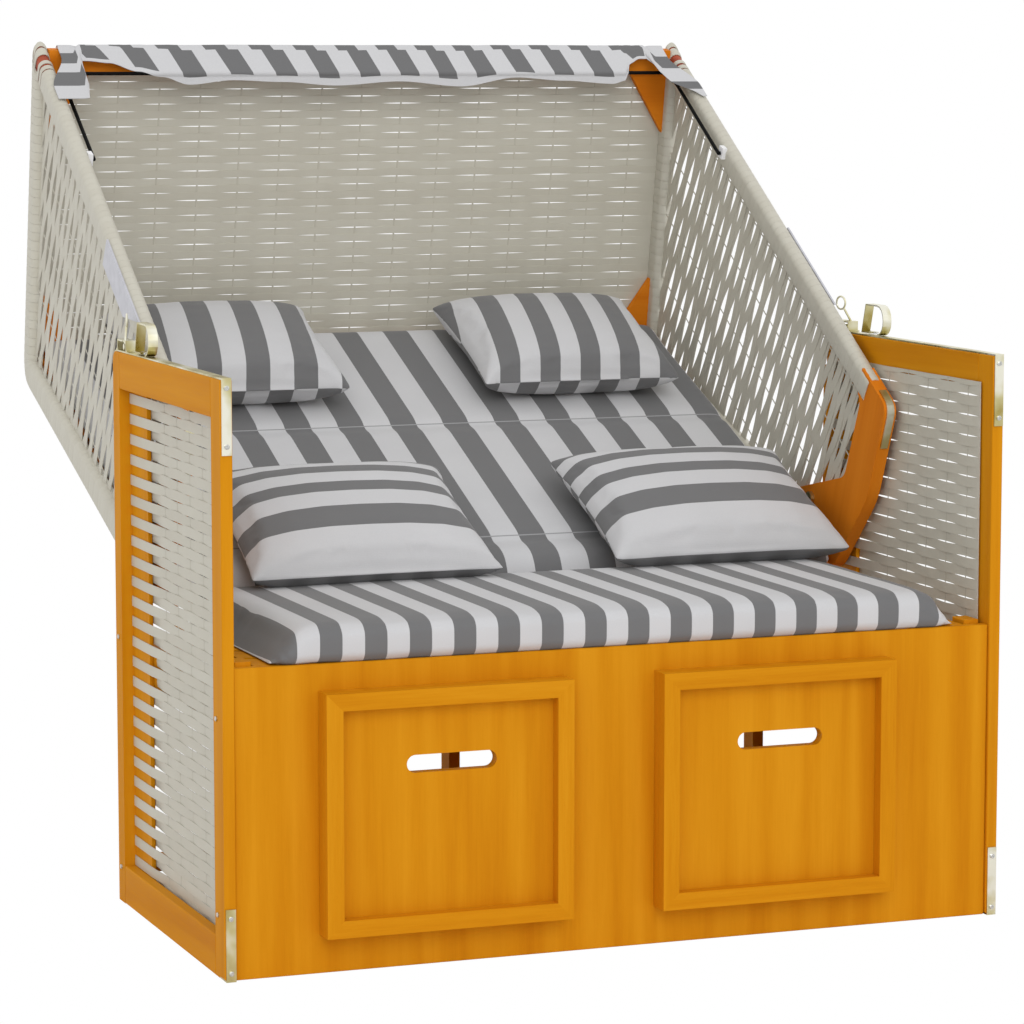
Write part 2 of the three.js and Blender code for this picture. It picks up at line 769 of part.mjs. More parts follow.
// Rounds each corner of a closed outline with a short curve; a point can bring its own rounding.
function roundedOutline(points, usualRounding) {
  const shape = new THREE.Shape();
  points.forEach((point, index) => {
    const rounding = point[2] ?? usualRounding;
    const [here, before, after] = [0, points.length - 1, 1].map((step) => {
      const [along, forward] = points[(index + step) % points.length];
      return new THREE.Vector2(along, forward);
    });
    const size = Math.min(rounding, here.distanceTo(before) / 3, here.distanceTo(after) / 3);
    const start = here.clone().add(before.sub(here).setLength(size));
    const end = here.clone().add(after.sub(here).setLength(size));
    if (index === 0) shape.moveTo(start.x, start.y);
    else shape.lineTo(start.x, start.y);
    shape.quadraticCurveTo(here.x, here.y, end.x, end.y);
  });
  shape.closePath();
  return shape;
}

const hoodOutline = [
  [0, 0], [backLength, 0], [peakAlong, peakForward, peakRounding],
  [browAlong, browForward], [chinAlong, chinForward], [chinMiddleAlong, chinMiddleForward],
];
const innerFront = (along) => frontEdge(along) - frontBarWidth / Math.cos(frontAngle);
const roofAngle = Math.atan2(peakForward, peakAlong - backLength);
const roofOuter = (forward) => backLength + forward / Math.tan(roofAngle);
const roofInner = (forward) => roofOuter(forward) - rearBarWidth / Math.sin(roofAngle);
const chinInnerTop = chinAlong + chinBoardWidth;
const chinInnerLow = chinMiddleAlong + chinBoardWidth;
const windowPoints = [
  [heelWebLength, backBarWidth],
  [roofInner(backBarWidth), backBarWidth],
  [roofInner(innerFront(peakAlong - rearBarWidth)), innerFront(peakAlong - rearBarWidth)],
  [chinInnerTop, innerFront(chinInnerTop)],
  [chinInnerLow, chinMiddleForward],
];
const [pivotAlong, pivotForward] = hoodLocal(pivotBack, pivotHeight);

// A long opening with pointed ends, whose two halves leave the stake between them.
function pointedOpening(length, width) {
  const [end, start] = [length / 2, stakeWidth / 2];
  return [-1, 1].map((way) => outline([
    [way * start, -width / 2], [way * end / 2, -width / 2], [way * end, 0],
    [way * end / 2, width / 2], [way * start, width / 2],
  ]));
}

// The side panels' openings lie in rows square to the front bar, each row half a step along.
function sideOpenings() {
  const rows = Math.ceil(peakForward / sideOpeningRow);
  const columns = Math.ceil(peakAlong / sideOpeningPitch) + 1;
  const openings = [];
  for (let row = 0; row < rows; row += 1) {
    const down = frontEdge(0) * Math.cos(frontAngle) - frontBarWidth - sideFirstRow - row * sideOpeningRow;
    const shift = sideFirstOpening + (row % 2) * sideOpeningPitch / 2;
    for (let column = 0; column < columns; column += 1) {
      for (const half of pointedOpening(sideOpeningLength, sideOpeningWidth)) {
        const opening = plate(half, skinThickness * 3).rotateX(frontAngle + Math.PI / 2);
        const along = column * sideOpeningPitch + shift;
        const [cosine, sine] = [Math.cos(frontAngle), Math.sin(frontAngle)];
        opening.translate(0, along * cosine - down * sine, along * sine + down * cosine);
        openings.push(opening);
      }
    }
  }
  return openings;
}

for (const [word, side] of sides) {
  const frame = roundedOutline(hoodOutline, cornerRounding);
  frame.holes.push(roundedOutline(windowPoints, cornerRounding / 2));
  const sideFrame = plate(frame, hoodSideThickness).translate(side * hoodHalfWidth, 0, 0);
  const [boltAlong, boltForward] = hoodLocal(boltBack, boltHeight);
  const boltBore = boreX(
    latchBoltRadius + restingGap, side * (hoodOuter - latchBoreDepth),
    side * (hoodOuter + drillOverrun), boltAlong, boltForward,
  );
  const pivotBore = boreX(
    pivotRadius, side * (hoodHalfWidth - hoodSideThickness), side * (hoodHalfWidth + hoodSideThickness),
    pivotAlong, pivotForward,
  );
  addPiece(hood, `hood_side_frame_${word}`, cut(sideFrame, [boltBore, pivotBore]), stainedWood());

  const insetWindow = (inset) => roundedOutline(windowPoints.map(([along, forward]) => {
    const middle = new THREE.Vector2(backLength / 2, (backBarWidth + peakForward) / 2);
    const corner = new THREE.Vector2(along, forward);
    return corner.add(middle.sub(corner).setLength(inset)).toArray();
  }), cornerRounding / 2);
  const sideSkin = plate(insetWindow(restingGap * 2), skinThickness);
  const sideRim = plate(insetWindow(skinRim), skinThickness * 2);
  const sideWeave = pierce(sideSkin, sideRim, sideOpenings());
  addPiece(hood, `hood_side_weave_${word}`, sideWeave.translate(side * hoodHalfWidth, 0, 0), rattan());

  // Corner strap, bent around the chin of the side board
  const [brow, chin] = [new THREE.Vector2(browAlong, browForward), new THREE.Vector2(chinAlong, chinForward)];
  const chinLow = new THREE.Vector2(chinMiddleAlong, chinMiddleForward);
  const bend = Math.min(cornerRounding, brow.distanceTo(chin) / 3);
  const down = chinLow.clone().sub(chin).normalize();
  const up = brow.clone().sub(chin).normalize();
  const bendStart = chin.clone().addScaledVector(down, bend);
  const bendEnd = chin.clone().addScaledVector(up, bend);
  const bendCurve = new THREE.QuadraticBezierCurve(bendStart, chin, bendEnd).getPoints(arcSteps);
  const strapLine = [
    chin.clone().addScaledVector(down, cornerStrapLength), ...bendCurve,
    chin.clone().addScaledVector(up, brow.distanceTo(chin) - bend),
  ].map((point) => point.toArray());
  const cornerStrap = strip(strapLine, strapThickness, cornerStrapWidth, restingGap);
  cornerStrap.translate(side * hoodHalfWidth, 0, 0);
  addPiece(hood, `hood_corner_strap_${word}`, cornerStrap, yellowZinc());

  // Rub plate on the outer face, along the front edge
  const rubPlate = plate(outline([
    [rubPlateSlant, -rubPlateInset - rubPlateWidth], [rubPlateLength, -rubPlateInset - rubPlateWidth],
    [rubPlateLength, -rubPlateInset], [0, -rubPlateInset],
  ]), rubPlateThickness).rotateX(frontAngle);
  const rubX = side * (hoodOuter + restingGap + rubPlateThickness / 2);
  rubPlate.translate(rubX, rubPlateStart, frontEdge(rubPlateStart));
  addPiece(hood, `rub_plate_${word}`, rubPlate, whitePlastic());

  // White clip that holds the end of the canopy bow
  const clipOuter = hoodInner - restingGap;
  const bowPivotForward = frontEdge(bowPivotAlong) - bowInset;
  const [clipLow, clipHigh] = span(side, bowHalfWidth + bowRadius + restingGap, clipOuter);
  const clip = plainBlock(
    [clipLow, bowPivotAlong - clipSize / 2, bowPivotForward - clipSize / 2],
    [clipHigh, bowPivotAlong + clipSize / 2, bowPivotForward + clipSize / 2 + clipLift],
  );
  const clipBore = boreX(
    bowRadius, side * (bowHalfWidth - drillOverrun), side * (clipOuter + drillOverrun),
    bowPivotAlong, bowPivotForward,
  );
  addPiece(hood, `bow_clip_${word}`, cut(clip, [clipBore]), whitePlastic());
}

// Woven back skin, and the slatted frame that carries the back pad
const hoodInnerHalf = hoodInner - restingGap;
const backSkin = plainBlock(
  [-hoodInnerHalf, cornerRounding / 2, -backSkinOffset - skinThickness],
  [hoodInnerHalf, backLength - cornerRounding / 2, -backSkinOffset],
);
addPiece(hood, "back_weave", backSkin, rattan());

const padGroup = new THREE.Group();
padGroup.position.set(0, 0, padSeatOffset);
padGroup.rotation.x = padTiltAngle * degrees;
hood.add(padGroup);
const backPitch = (backFrameLength - backSlatWidth) / (backSlatCount - 1);
const backParts = [];
for (let slat = 0; slat < backSlatCount; slat += 1) {
  const along = slat * backPitch;
  backParts.push(plainBlock(
    [-hoodInnerHalf, along, -backSlatThickness], [hoodInnerHalf, along + backSlatWidth, 0],
  ));
}
for (let batten = 0; batten < battenCount; batten += 1) {
  const reach = hoodInnerHalf - battenWidth;
  const x = -reach + 2 * reach * batten / (battenCount - 1);
  backParts.push(plainBlock(
    [x - battenWidth / 2, backSlatWidth / 2, battenInset - backSlatThickness],
    [x + battenWidth / 2, backFrameLength - backSlatWidth / 2, -battenInset],
  ));
}
addPiece(padGroup, "back_slats", join(backParts), stainedWood());

// Roof: a woven skin between the side frames, with a beam and glued corner blocks at each end
const roof = new THREE.Group();
roof.position.set(0, backLength, 0);
roof.rotation.x = roofAngle;
hood.add(roof);
const roofLength = Math.hypot(peakForward, peakAlong - backLength);
const roofEdge = cornerRounding / 2;
const roofSkin = plainBlock(
  [-hoodInnerHalf, roofEdge, roofInset],
  [hoodInnerHalf, roofLength - roofEdge, roofInset + skinThickness],
);
const roofRim = plainBlock(
  [skinRim - hoodInnerHalf, roofEdge + beamWidth, 0],
  [hoodInnerHalf - skinRim, roofLength - roofEdge - beamWidth, roofInset + skinThickness * 2],
);

// The roof's openings are narrow and level, in columns at every other stake.
function roofOpenings() {
  const columns = Math.ceil(hoodInnerHalf / roofOpeningColumn);
  const rows = Math.floor(roofLength / roofOpeningPitch);
  const openings = [];
  for (let column = -columns; column < columns; column += 1) {
    for (let row = 0; row < rows; row += 1) {
      for (const half of pointedOpening(roofOpeningLength, roofOpeningWidth)) {
        const opening = new THREE.ExtrudeGeometry(half, { depth: skinThickness * 3, bevelEnabled: false });
        const across = roofFirstColumn + column * roofOpeningColumn;
        openings.push(opening.translate(across, roofFirstOpening + row * roofOpeningPitch, 0));
      }
    }
  }
  return openings;
}
addPiece(roof, "roof_weave", pierce(roofSkin, roofRim, roofOpenings()), rattan());

// A beam with a triangular block at each end; the blocks reach in the direction of way.
function beamWithBlocks(edge, way) {
  const low = roofInset + skinThickness + restingGap;
  const [y0, y1] = way > 0 ? [edge, edge + beamWidth] : [edge - beamWidth, edge];
  const parts = [plainBlock([-hoodInnerHalf, y0, low], [hoodInnerHalf, y1, low + beamThickness])];
  const seat = way > 0 ? y1 : y0;
  for (const side of [-1, 1]) {
    const triangle = outline([
      [side * hoodInnerHalf, seat - way * restingGap],
      [side * (hoodInnerHalf - gussetReach), seat - way * restingGap],
      [side * hoodInnerHalf, seat + way * gussetLength],
    ]);
    const block = new THREE.ExtrudeGeometry(triangle, { depth: gussetThickness, bevelEnabled: false });
    parts.push(block.translate(0, 0, low));
  }
  return join(parts);
}
addPiece(roof, "top_beam", beamWithBlocks(roofLength - beamSetback, -1), stainedWood());
addPiece(roof, "rear_beam", beamWithBlocks(beamSetback, 1), stainedWood());

// Canopy bow: a bent rod whose ends turn outwards into the clips
const bowGroup = new THREE.Group();
hood.add(bowGroup);
const bowPoint = (x, along) => new THREE.Vector3(x, along, frontEdge(along) - bowInset);
const bowEnd = hoodInner - restingGap * 2;
addPiece(bowGroup, "canopy_bow", bentRod([
  bowPoint(-bowEnd, bowPivotAlong), bowPoint(-bowHalfWidth, bowPivotAlong),
  bowPoint(-bowHalfWidth, bowBarAlong), bowPoint(bowHalfWidth, bowBarAlong),
  bowPoint(bowHalfWidth, bowPivotAlong), bowPoint(bowEnd, bowPivotAlong),
], bowRadius), blackSteel());

// Canopy: one cloth from the top beam, over the bow, to a waved hem with a flap at each end
const smooth = (value, from, to) => {
  const share = Math.min(Math.max((value - from) / (to - from), 0), 1);
  return share * share * (3 - 2 * share);
};
const plane = (along, forward) => new THREE.Vector2(along, forward);
const roofPoint = (up, inward) => {
  return plane(up, inward).rotateAround(plane(0, 0), roofAngle).add(plane(backLength, 0));
};
const clothHalf = restingGap + clothThickness / 2;
const beamLow = roofInset + skinThickness + restingGap;
const beamRear = roofPoint(roofLength - beamSetback + clothHalf, beamLow + clothThickness);
const beamFront = roofPoint(roofLength - beamSetback + clothHalf, beamLow + beamThickness + clothHalf / 2);
const bar = plane(bowBarAlong, frontEdge(bowBarAlong) - bowInset);
const plumb = plane(0, -1).rotateAround(plane(0, 0), -reclineAngle * degrees);
const aroundBar = (turn) => {
  const slope = beamFront.clone().sub(bar).angle();
  const reach = (bowRadius + clothHalf) / Math.cos(Math.PI / 6);
  return bar.clone().add(plane(reach, 0).rotateAround(plane(0, 0), slope + turn));
};
const hemTurns = [Math.PI / 3, Math.PI / 2, Math.PI * 2 / 3, Math.PI];
const flapAlong = (along) => plane(along, frontEdge(along) + flapLift);

const canopyTopHalfWidth = hoodInner - canopySideGap;
const flapStart = canopyTopHalfWidth - flapWidth;
const flapEnd = canopyTopHalfWidth - flapFullWidth;

// The cloth's place in the hood's side view, for a share across its width and a row down it
function canopyPoint(across, down) {
  const row = Math.round(down * canopyRows);
  const topX = across * canopyTopHalfWidth;
  const flap = smooth(Math.abs(topX), flapStart, flapEnd);
  const drop = valanceDrop + valanceWave * Math.cos(topX / valanceWaveLength * Math.PI * 2);
  const bends = hemTurns.map(aroundBar);
  const last = bends[bends.length - 1];
  const fallRows = canopyRows - 1 - bends.length;
  const falls = Array.from({ length: fallRows }, (_, step) => {
    return last.clone().addScaledVector(plumb, drop * (step + 1) / fallRows);
  });
  const main = [beamRear, beamFront, ...bends, ...falls];
  const flapSteps = canopyRows - 1;
  const side = [beamRear, ...Array.from({ length: flapSteps + 1 }, (_, step) => {
    return step === 0 ? beamFront : flapAlong(bowBarAlong - flapReach * (step - 1) / (flapSteps - 1));
  })];
  const place = main[row].clone().lerp(side[row], flap);
  const halfSpan = canopyTopHalfWidth + canopyFlare * smooth(down, 1 / canopyRows, 1 / 2);
  return new THREE.Vector3(across * halfSpan, place.x, place.y);
}

// Gives a sheet its thickness and closes it along its four edges.
function sheet(pointAt, columns, rows, thickness) {
  const middle = [];
  for (let row = 0; row <= rows; row += 1) {
    for (let column = 0; column <= columns; column += 1) {
      middle.push(pointAt(column / columns * 2 - 1, row / rows));
    }
  }
  const at = (column, row) => middle[row * (columns + 1) + column];
  const over = [];
  const under = [];
  for (let row = 0; row <= rows; row += 1) {
    for (let column = 0; column <= columns; column += 1) {
      const along = at(Math.min(column + 1, columns), row).clone().sub(at(Math.max(column - 1, 0), row));
      const down = at(column, Math.min(row + 1, rows)).clone().sub(at(column, Math.max(row - 1, 0)));
      const normal = down.cross(along).setLength(thickness / 2);
      over.push(at(column, row).clone().add(normal));
      under.push(at(column, row).clone().sub(normal));
    }
  }
  const corners = [...over, ...under];
  const lift = over.length;
  const place = (column, row) => row * (columns + 1) + column;
  const index = [];
  const face = (a, b, c, d) => index.push(a, b, c, a, c, d);
  const wall = (a, b) => face(a, b, b + lift, a + lift);
  for (let row = 0; row < rows; row += 1) {
    for (let column = 0; column < columns; column += 1) {
      const [a, b] = [place(column, row), place(column, row + 1)];
      face(a, b, b + 1, a + 1);
      face(a + lift, a + 1 + lift, b + 1 + lift, b + lift);
    }
    wall(place(0, row + 1), place(0, row));
    wall(place(columns, row), place(columns, row + 1));
  }
  for (let column = 0; column < columns; column += 1) {
    wall(place(column, 0), place(column + 1, 0));
    wall(place(column + 1, rows), place(column, rows));
  }
  const geometry = new THREE.BufferGeometry();
  geometry.setAttribute("position", new THREE.Float32BufferAttribute(corners.flatMap((v) => v.toArray()), 3));
  geometry.setIndex(index);
  geometry.computeVertexNormals();
  return geometry;
}
addPiece(hood, "canopy", sheet(canopyPoint, canopyColumns, canopyRows, clothThickness), stripedCloth());

// Back pad: one mattress with two sewn channels
const padHalfWidth = hoodInner - padSideGap;
function padRing(along) {
  const fromEnd = Math.min(along, padLength - along);
  const seam = Math.max(...padSeamPlaces.map((place) => {
    return Math.max(1 - Math.abs(along - place) / padSeamWidth, 0);
  }));
  const full = padThickness - seam * padSeamDepth;
  const high = padEdgeThickness + (full - padEdgeThickness) * smooth(fromEnd, 0, padThickness);
  const edge = padHalfWidth;
  const shoulder = padHalfWidth - padThickness / 2;
  const waist = padEdgeThickness / 2;
  const low = restingGap;
  return [
    [shoulder, low], [edge, low + waist], [edge, high / 2], [shoulder, high],
    [0, high], [-shoulder, high], [-edge, high / 2], [-edge, low + waist], [-shoulder, low],
  ].map(([x, z]) => [x, padStart + along, z]);
}
const padEnd = [0, padThickness / 2, padThickness];
const padStations = [...padEnd, ...padEnd.map((along) => padLength - along)];
for (const place of padSeamPlaces) padStations.push(place - padSeamWidth, place, place + padSeamWidth);
padStations.sort((a, b) => a - b);
addPiece(padGroup, "back_pad", loft(padStations.map(padRing).reverse()), stripedCloth());

// Pillows: crowned forms whose four edges draw in between the corners
function pillow({ width, depth, height }) {
  const roundness = (share) => (1 - Math.abs(share) ** pillowRoundnessPower) ** pillowFullnessShare;
  const rings = [];
  for (let row = 0; row <= pillowRows; row += 1) {
    const t = Math.sin((row / pillowRows * 2 - 1) * Math.PI / 2);
    const tall = roundness(t) * (height - pillowSeamThickness) / 2;
    const ring = [];
    for (let step = 0; step < pillowPoints * 2; step += 1) {
      const upper = step < pillowPoints;
      const share = upper ? step / pillowPoints : (step - pillowPoints) / pillowPoints;
      const s = Math.cos(share * Math.PI) * (upper ? 1 : -1);
      const lift = tall * roundness(s) + pillowSeamThickness / 2 * (share > 0 ? 1 : 0);
      const drawX = 1 - pillowDrawInShare * (1 - t * t);
      const drawY = 1 - pillowDrawInShare * (1 - s * s);
      ring.push([s * width / 2 * drawX, t * depth / 2 * drawY, (upper ? 1 : -1) * lift]);
    }
    rings.push(ring);
  }
  return loft(rings.reverse());
}
for (const [kind, sizes] of [["head_pillow", headPillow], ["seat_pillow", seatPillow]]) {
  sizes.sideGaps.forEach((gap, index) => {
    const x = sides[index][1] * (hoodInner - gap - sizes.width / 2);
    const form = pillow(sizes);
    const rest = padThickness + restingGap + sizes.height / 2;
    form.translate(x, sizes.places[index], rest);
    addPiece(padGroup, `${kind}_${sides[index][0]}`, form, greyCloth());
  });
}

// The chair's origin is on the floor, under the middle of its bounding box.
chair.updateMatrixWorld(true);
const bounds = new THREE.Box3().setFromObject(chair, true);
chair.position.y = -(bounds.min.y + bounds.max.y) / 2;
chair.updateMatrixWorld(true);

export default chair;
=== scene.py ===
import math
import random

import bpy
from mathutils import Matrix, Vector


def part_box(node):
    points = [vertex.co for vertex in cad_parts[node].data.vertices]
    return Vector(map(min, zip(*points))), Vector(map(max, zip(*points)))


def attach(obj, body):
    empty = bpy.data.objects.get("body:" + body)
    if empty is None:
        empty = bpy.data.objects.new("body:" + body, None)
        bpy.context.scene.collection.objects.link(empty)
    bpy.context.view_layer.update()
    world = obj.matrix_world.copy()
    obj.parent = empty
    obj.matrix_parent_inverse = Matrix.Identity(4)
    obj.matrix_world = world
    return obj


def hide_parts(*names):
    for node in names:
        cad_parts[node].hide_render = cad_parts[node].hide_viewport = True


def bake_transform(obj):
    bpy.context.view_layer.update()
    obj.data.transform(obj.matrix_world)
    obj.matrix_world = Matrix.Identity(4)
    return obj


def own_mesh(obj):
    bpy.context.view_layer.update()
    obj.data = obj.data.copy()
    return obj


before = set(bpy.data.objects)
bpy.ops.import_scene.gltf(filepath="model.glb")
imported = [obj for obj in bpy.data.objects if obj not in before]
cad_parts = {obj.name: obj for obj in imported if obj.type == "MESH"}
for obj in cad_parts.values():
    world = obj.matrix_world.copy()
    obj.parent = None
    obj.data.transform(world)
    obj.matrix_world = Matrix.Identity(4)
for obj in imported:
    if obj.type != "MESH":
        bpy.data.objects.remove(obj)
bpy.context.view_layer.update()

bpy.ops.object.select_all(action="DESELECT")

# Studio. A white floor and a white room, a broad soft lamp high in front and the camera
# at the place from which the chair was photographed.
camera_place = (-2.0222, -5.4803, 1.2540)
camera_yaw = 20.784
camera_pitch = 6.839
camera_lens = 133.56
film_width = 36
room_level = 0.79
lamp_place = (-1.0, -4.8, 3.4)
lamp_aim = (0, 0, 0.6)
lamp_spread = 40
lamp_level = 0.85
floor_tone = 0.94
bpy.ops.object.camera_add(
    location=camera_place,
    rotation=(math.radians(90 - camera_pitch), 0, math.radians(-camera_yaw)),
)
camera = bpy.context.object
camera.name = "photo_camera"
camera.data.sensor_width = film_width
camera.data.lens = camera_lens
bpy.context.scene.camera = camera
bpy.context.scene.view_settings.view_transform = "Standard"


class Shade:
    """A socket of a material's node tree: arithmetic on it adds nodes."""

    def __init__(self, tree, socket=None):
        self.tree = tree
        self.socket = socket

    def node(self, kind, settings=None, sockets=None, out=0, stops=()):
        made = self.tree.nodes.new(kind)
        for name, value in (settings or {}).items():
            setattr(made, name, value)
        for number, (place, colour) in enumerate(stops):
            ramp = made.color_ramp.elements
            stop = ramp[number] if number < len(ramp) else ramp.new(place)
            stop.position = place
            stop.color = (*colour, 1)
        for name, value in (sockets or {}).items():
            if isinstance(value, Shade):
                self.tree.links.new(value.socket, made.inputs[name])
            else:
                made.inputs[name].default_value = value
        return Shade(self.tree, made.outputs[out])

    def math(self, operation, *values):
        return self.node("ShaderNodeMath", {"operation": operation}, dict(enumerate(values)))

    def __add__(self, other):
        return self.math("ADD", self, other)

    def __sub__(self, other):
        return self.math("SUBTRACT", self, other)

    def __rsub__(self, other):
        return self.math("SUBTRACT", other, self)

    def __mul__(self, other):
        return self.math("MULTIPLY", self, other)

    __radd__ = __add__
    __rmul__ = __mul__

    def feed(self, socket):
        self.tree.links.new(self.socket, socket)


world = bpy.data.worlds.new("white_room")
bpy.context.scene.world = world
world.use_nodes = True
room = Shade(world.node_tree)
lit = room.node("ShaderNodeBackground", {}, {"Color": (1, 1, 1, 1), "Strength": room_level})
seen = room.node("ShaderNodeBackground", {}, {"Color": (1, 1, 1, 1), "Strength": 1.0})
camera_path, glossy_path, clear_path = (room.node("ShaderNodeLightPath", out=name) for name in (
    "Is Camera Ray", "Is Glossy Ray", "Is Transmission Ray"))
straight = camera_path + glossy_path + clear_path
room.node("ShaderNodeMixShader", {}, {0: straight, 1: lit, 2: seen}).feed(
    world.node_tree.nodes["World Output"].inputs["Surface"])

bpy.ops.object.light_add(type="SUN", location=lamp_place)
lamp = bpy.context.object
lamp.name = "soft_lamp"
lamp.data.angle = math.radians(lamp_spread)
lamp.data.energy = lamp_level
lamp.rotation_euler = (Vector(lamp_aim) - lamp.location).to_track_quat("-Z", "Y").to_euler()


def new_finish(name, **sockets):
    """A material with its shader node and the start for its shading expressions."""
    material = bpy.data.materials.new(name)
    material.use_nodes = True
    shader = material.node_tree.nodes["Principled BSDF"]
    for socket, value in sockets.items():
        shader.inputs[socket.replace("_", " ")].default_value = value
    return material, shader, Shade(material.node_tree)


def tint(red, green, blue):
    """A colour that is given as it is seen, from 0 to 255, as light."""
    light = []
    for part in (red, green, blue):
        share = part / 255
        light.append(share / 12.92 if share <= 0.04045 else ((share + 0.055) / 1.055) ** 2.4)
    return tuple(light)


bpy.ops.mesh.primitive_plane_add(size=30, location=(0, 0, -0.0005))
floor = bpy.context.object
floor.name = "pale_floor"
floor_finish, floor_shader, paint = new_finish("floor_white", Roughness=0.9)
floor_shader.inputs["Base Color"].default_value = (floor_tone, floor_tone, floor_tone, 1)
glow = paint.node("ShaderNodeEmission", {}, {"Color": (1, 1, 1, 1), "Strength": 1.0})
camera_ray = paint.node("ShaderNodeLightPath", out="Is Camera Ray")
ground = Shade(floor_finish.node_tree, floor_shader.outputs[0])
paint.node("ShaderNodeMixShader", {}, {0: camera_ray, 1: ground, 2: glow}).feed(
    floor_finish.node_tree.nodes["Material Output"].inputs["Surface"])
floor.data.materials.append(floor_finish)


# Stained boards. All the boards are planed softwood with an orange-brown stain, and the
# fibres run along each board.
stain = (tint(197, 122, 12), tint(208, 136, 18), tint(216, 146, 26))
# the hood's boards are painted a redder, more orange stain: painted shade, for the shade that falls
# on them inside the hood
hood_shade_stain = (tint(206, 111, 22), tint(218, 125, 28), tint(226, 135, 36))
fibre_stretch = 0.045
wood_gloss = 0.03


def mottled(paint, scale, detail):
    """Noise over the chair, by the place in the piece's own axes."""
    place = paint.node("ShaderNodeTexCoord", out="Object")
    return paint.node("ShaderNodeTexNoise", {}, {"Vector": place, "Scale": scale, "Detail": detail})


def roughen(paint, shader, strength, distance, height):
    """Raises the surface a little by a height."""
    paint.node("ShaderNodeBump", {}, {
        "Strength": strength, "Distance": distance, "Height": height}).feed(shader.inputs["Normal"])


def wood_fibres(paint, level, grain):
    """Fibres along an axis: their stretched place, the broad streaks and the fine ones."""
    stretch = tuple(fibre_stretch if axis == grain else 1 for axis in "XYZ")
    fibres = paint.node("ShaderNodeMapping", {}, {"Vector": level, "Scale": stretch})
    streak = paint.node("ShaderNodeTexNoise", {}, {
        "Vector": fibres, "Scale": 34.0, "Detail": 6.0, "Roughness": 0.62, "Distortion": 0.4})
    fine = paint.node("ShaderNodeTexNoise", {}, {
        "Vector": fibres, "Scale": 420.0, "Detail": 3.0, "Roughness": 0.6})
    return fibres, streak, fine


def stained(paint, amount, colours):
    return paint.node("ShaderNodeValToRGB", {}, {0: amount}, stops=tuple(
        zip((0.30, 0.50, 0.70), colours)))


def stained_wood(name, grain, lean=0.0, colours=stain):
    """Grain is the axis that the fibres follow, after a lean about X is taken out."""
    material, shader, paint = new_finish(name, Specular_IOR_Level=wood_gloss)
    place = paint.node("ShaderNodeTexCoord", out="Object")
    level = paint.node("ShaderNodeMapping", {}, {"Vector": place, "Rotation": (-lean, 0, 0)})
    fibres, streak, fine = wood_fibres(paint, level, grain)
    cloud = mottled(paint, 3.2, 2.0)
    rings = paint.node("ShaderNodeTexWave", {"wave_type": "BANDS", "bands_direction": "DIAGONAL"}, {
        "Vector": fibres, "Scale": 9.0, "Distortion": 9.0, "Detail": 3.0, "Detail Scale": 1.4})
    amount = streak * 0.55 + fine * 0.16 + cloud * 0.18 + rings * 0.14
    stained(paint, amount, colours).feed(shader.inputs["Base Color"])
    (0.38 + fine * 0.2).feed(shader.inputs["Roughness"])
    roughen(paint, shader, 0.07, 0.0005, fine + streak)
    return material


def dress(material, *nodes):
    """Gives CAD nodes their finish."""
    for node in nodes:
        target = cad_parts[node]
        target.data.materials.clear()
        target.data.materials.append(material)


recline = math.radians(19.45)
upright_wood = stained_wood("stained_wood_upright", "Z")
long_wood = stained_wood("stained_wood_long", "Y")
cross_wood = stained_wood("stained_wood_cross", "X")
# the beams, back slats and chin boards take the redder stain, which is painted shade
beam_wood = stained_wood("stained_wood_beam", "X", colours=hood_shade_stain)
chin_wood = stained_wood("stained_wood_chin", "Z", recline, hood_shade_stain)
sides = (("left", -1), ("right", 1))
for word, side in sides:
    dress(upright_wood, f"arm_front_stile_{word}", f"arm_rear_stile_{word}")
    dress(long_wood, f"arm_top_rail_{word}", f"arm_bottom_rail_{word}", f"seat_rail_{word}")
    dress(upright_wood, f"footrest_front_{word}", f"footrest_legs_{word}")
    dress(cross_wood, f"footrest_top_{word}")
dress(upright_wood, "front_panel")
dress(cross_wood, "seat_slats")
dress(beam_wood, "back_slats", "top_beam", "rear_beam")
dress(long_wood, "runner_frame")


# Footrest mouldings. Each is a mitred picture frame, so its uprights and its cross pieces
# have their fibres along themselves.
def mitred_wood(name, low, high):
    """Stained wood whose fibres turn at the mitres of a frame between two corners."""
    material, shader, paint = new_finish(name, Specular_IOR_Level=wood_gloss)
    place = paint.node("ShaderNodeTexCoord", out="Object")
    along = paint.node("ShaderNodeSeparateXYZ", {}, {0: place}, out=0)
    height = Shade(paint.tree, along.socket.node.outputs[2])
    left, right = along - low.x, high.x - along
    bottom, top = height - low.z, high.z - height
    from_side = left.math("MINIMUM", left, right)
    from_end = bottom.math("MINIMUM", bottom, top)
    cross = from_side.math("GREATER_THAN", from_side, from_end)
    colours = []
    fines = []
    for grain in "ZX":
        fibres, streak, fine = wood_fibres(paint, place, grain)
        fines.append(fine)
        colours.append(stained(paint, streak * 0.75 + fine * 0.25, stain))
    paint.node("ShaderNodeMix", {"data_type": "RGBA"}, {0: cross, 6: colours[0], 7: colours[1]},
               out=2).feed(shader.inputs["Base Color"])
    pores = paint.node("ShaderNodeMix", {}, {0: cross, 2: fines[0], 3: fines[1]})
    roughen(paint, shader, 0.1, 0.0006, pores)
    return material


for word, side in sides:
    low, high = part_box(f"footrest_moulding_{word}")
    dress(mitred_wood(f"moulding_wood_{word}", low, high), f"footrest_moulding_{word}")
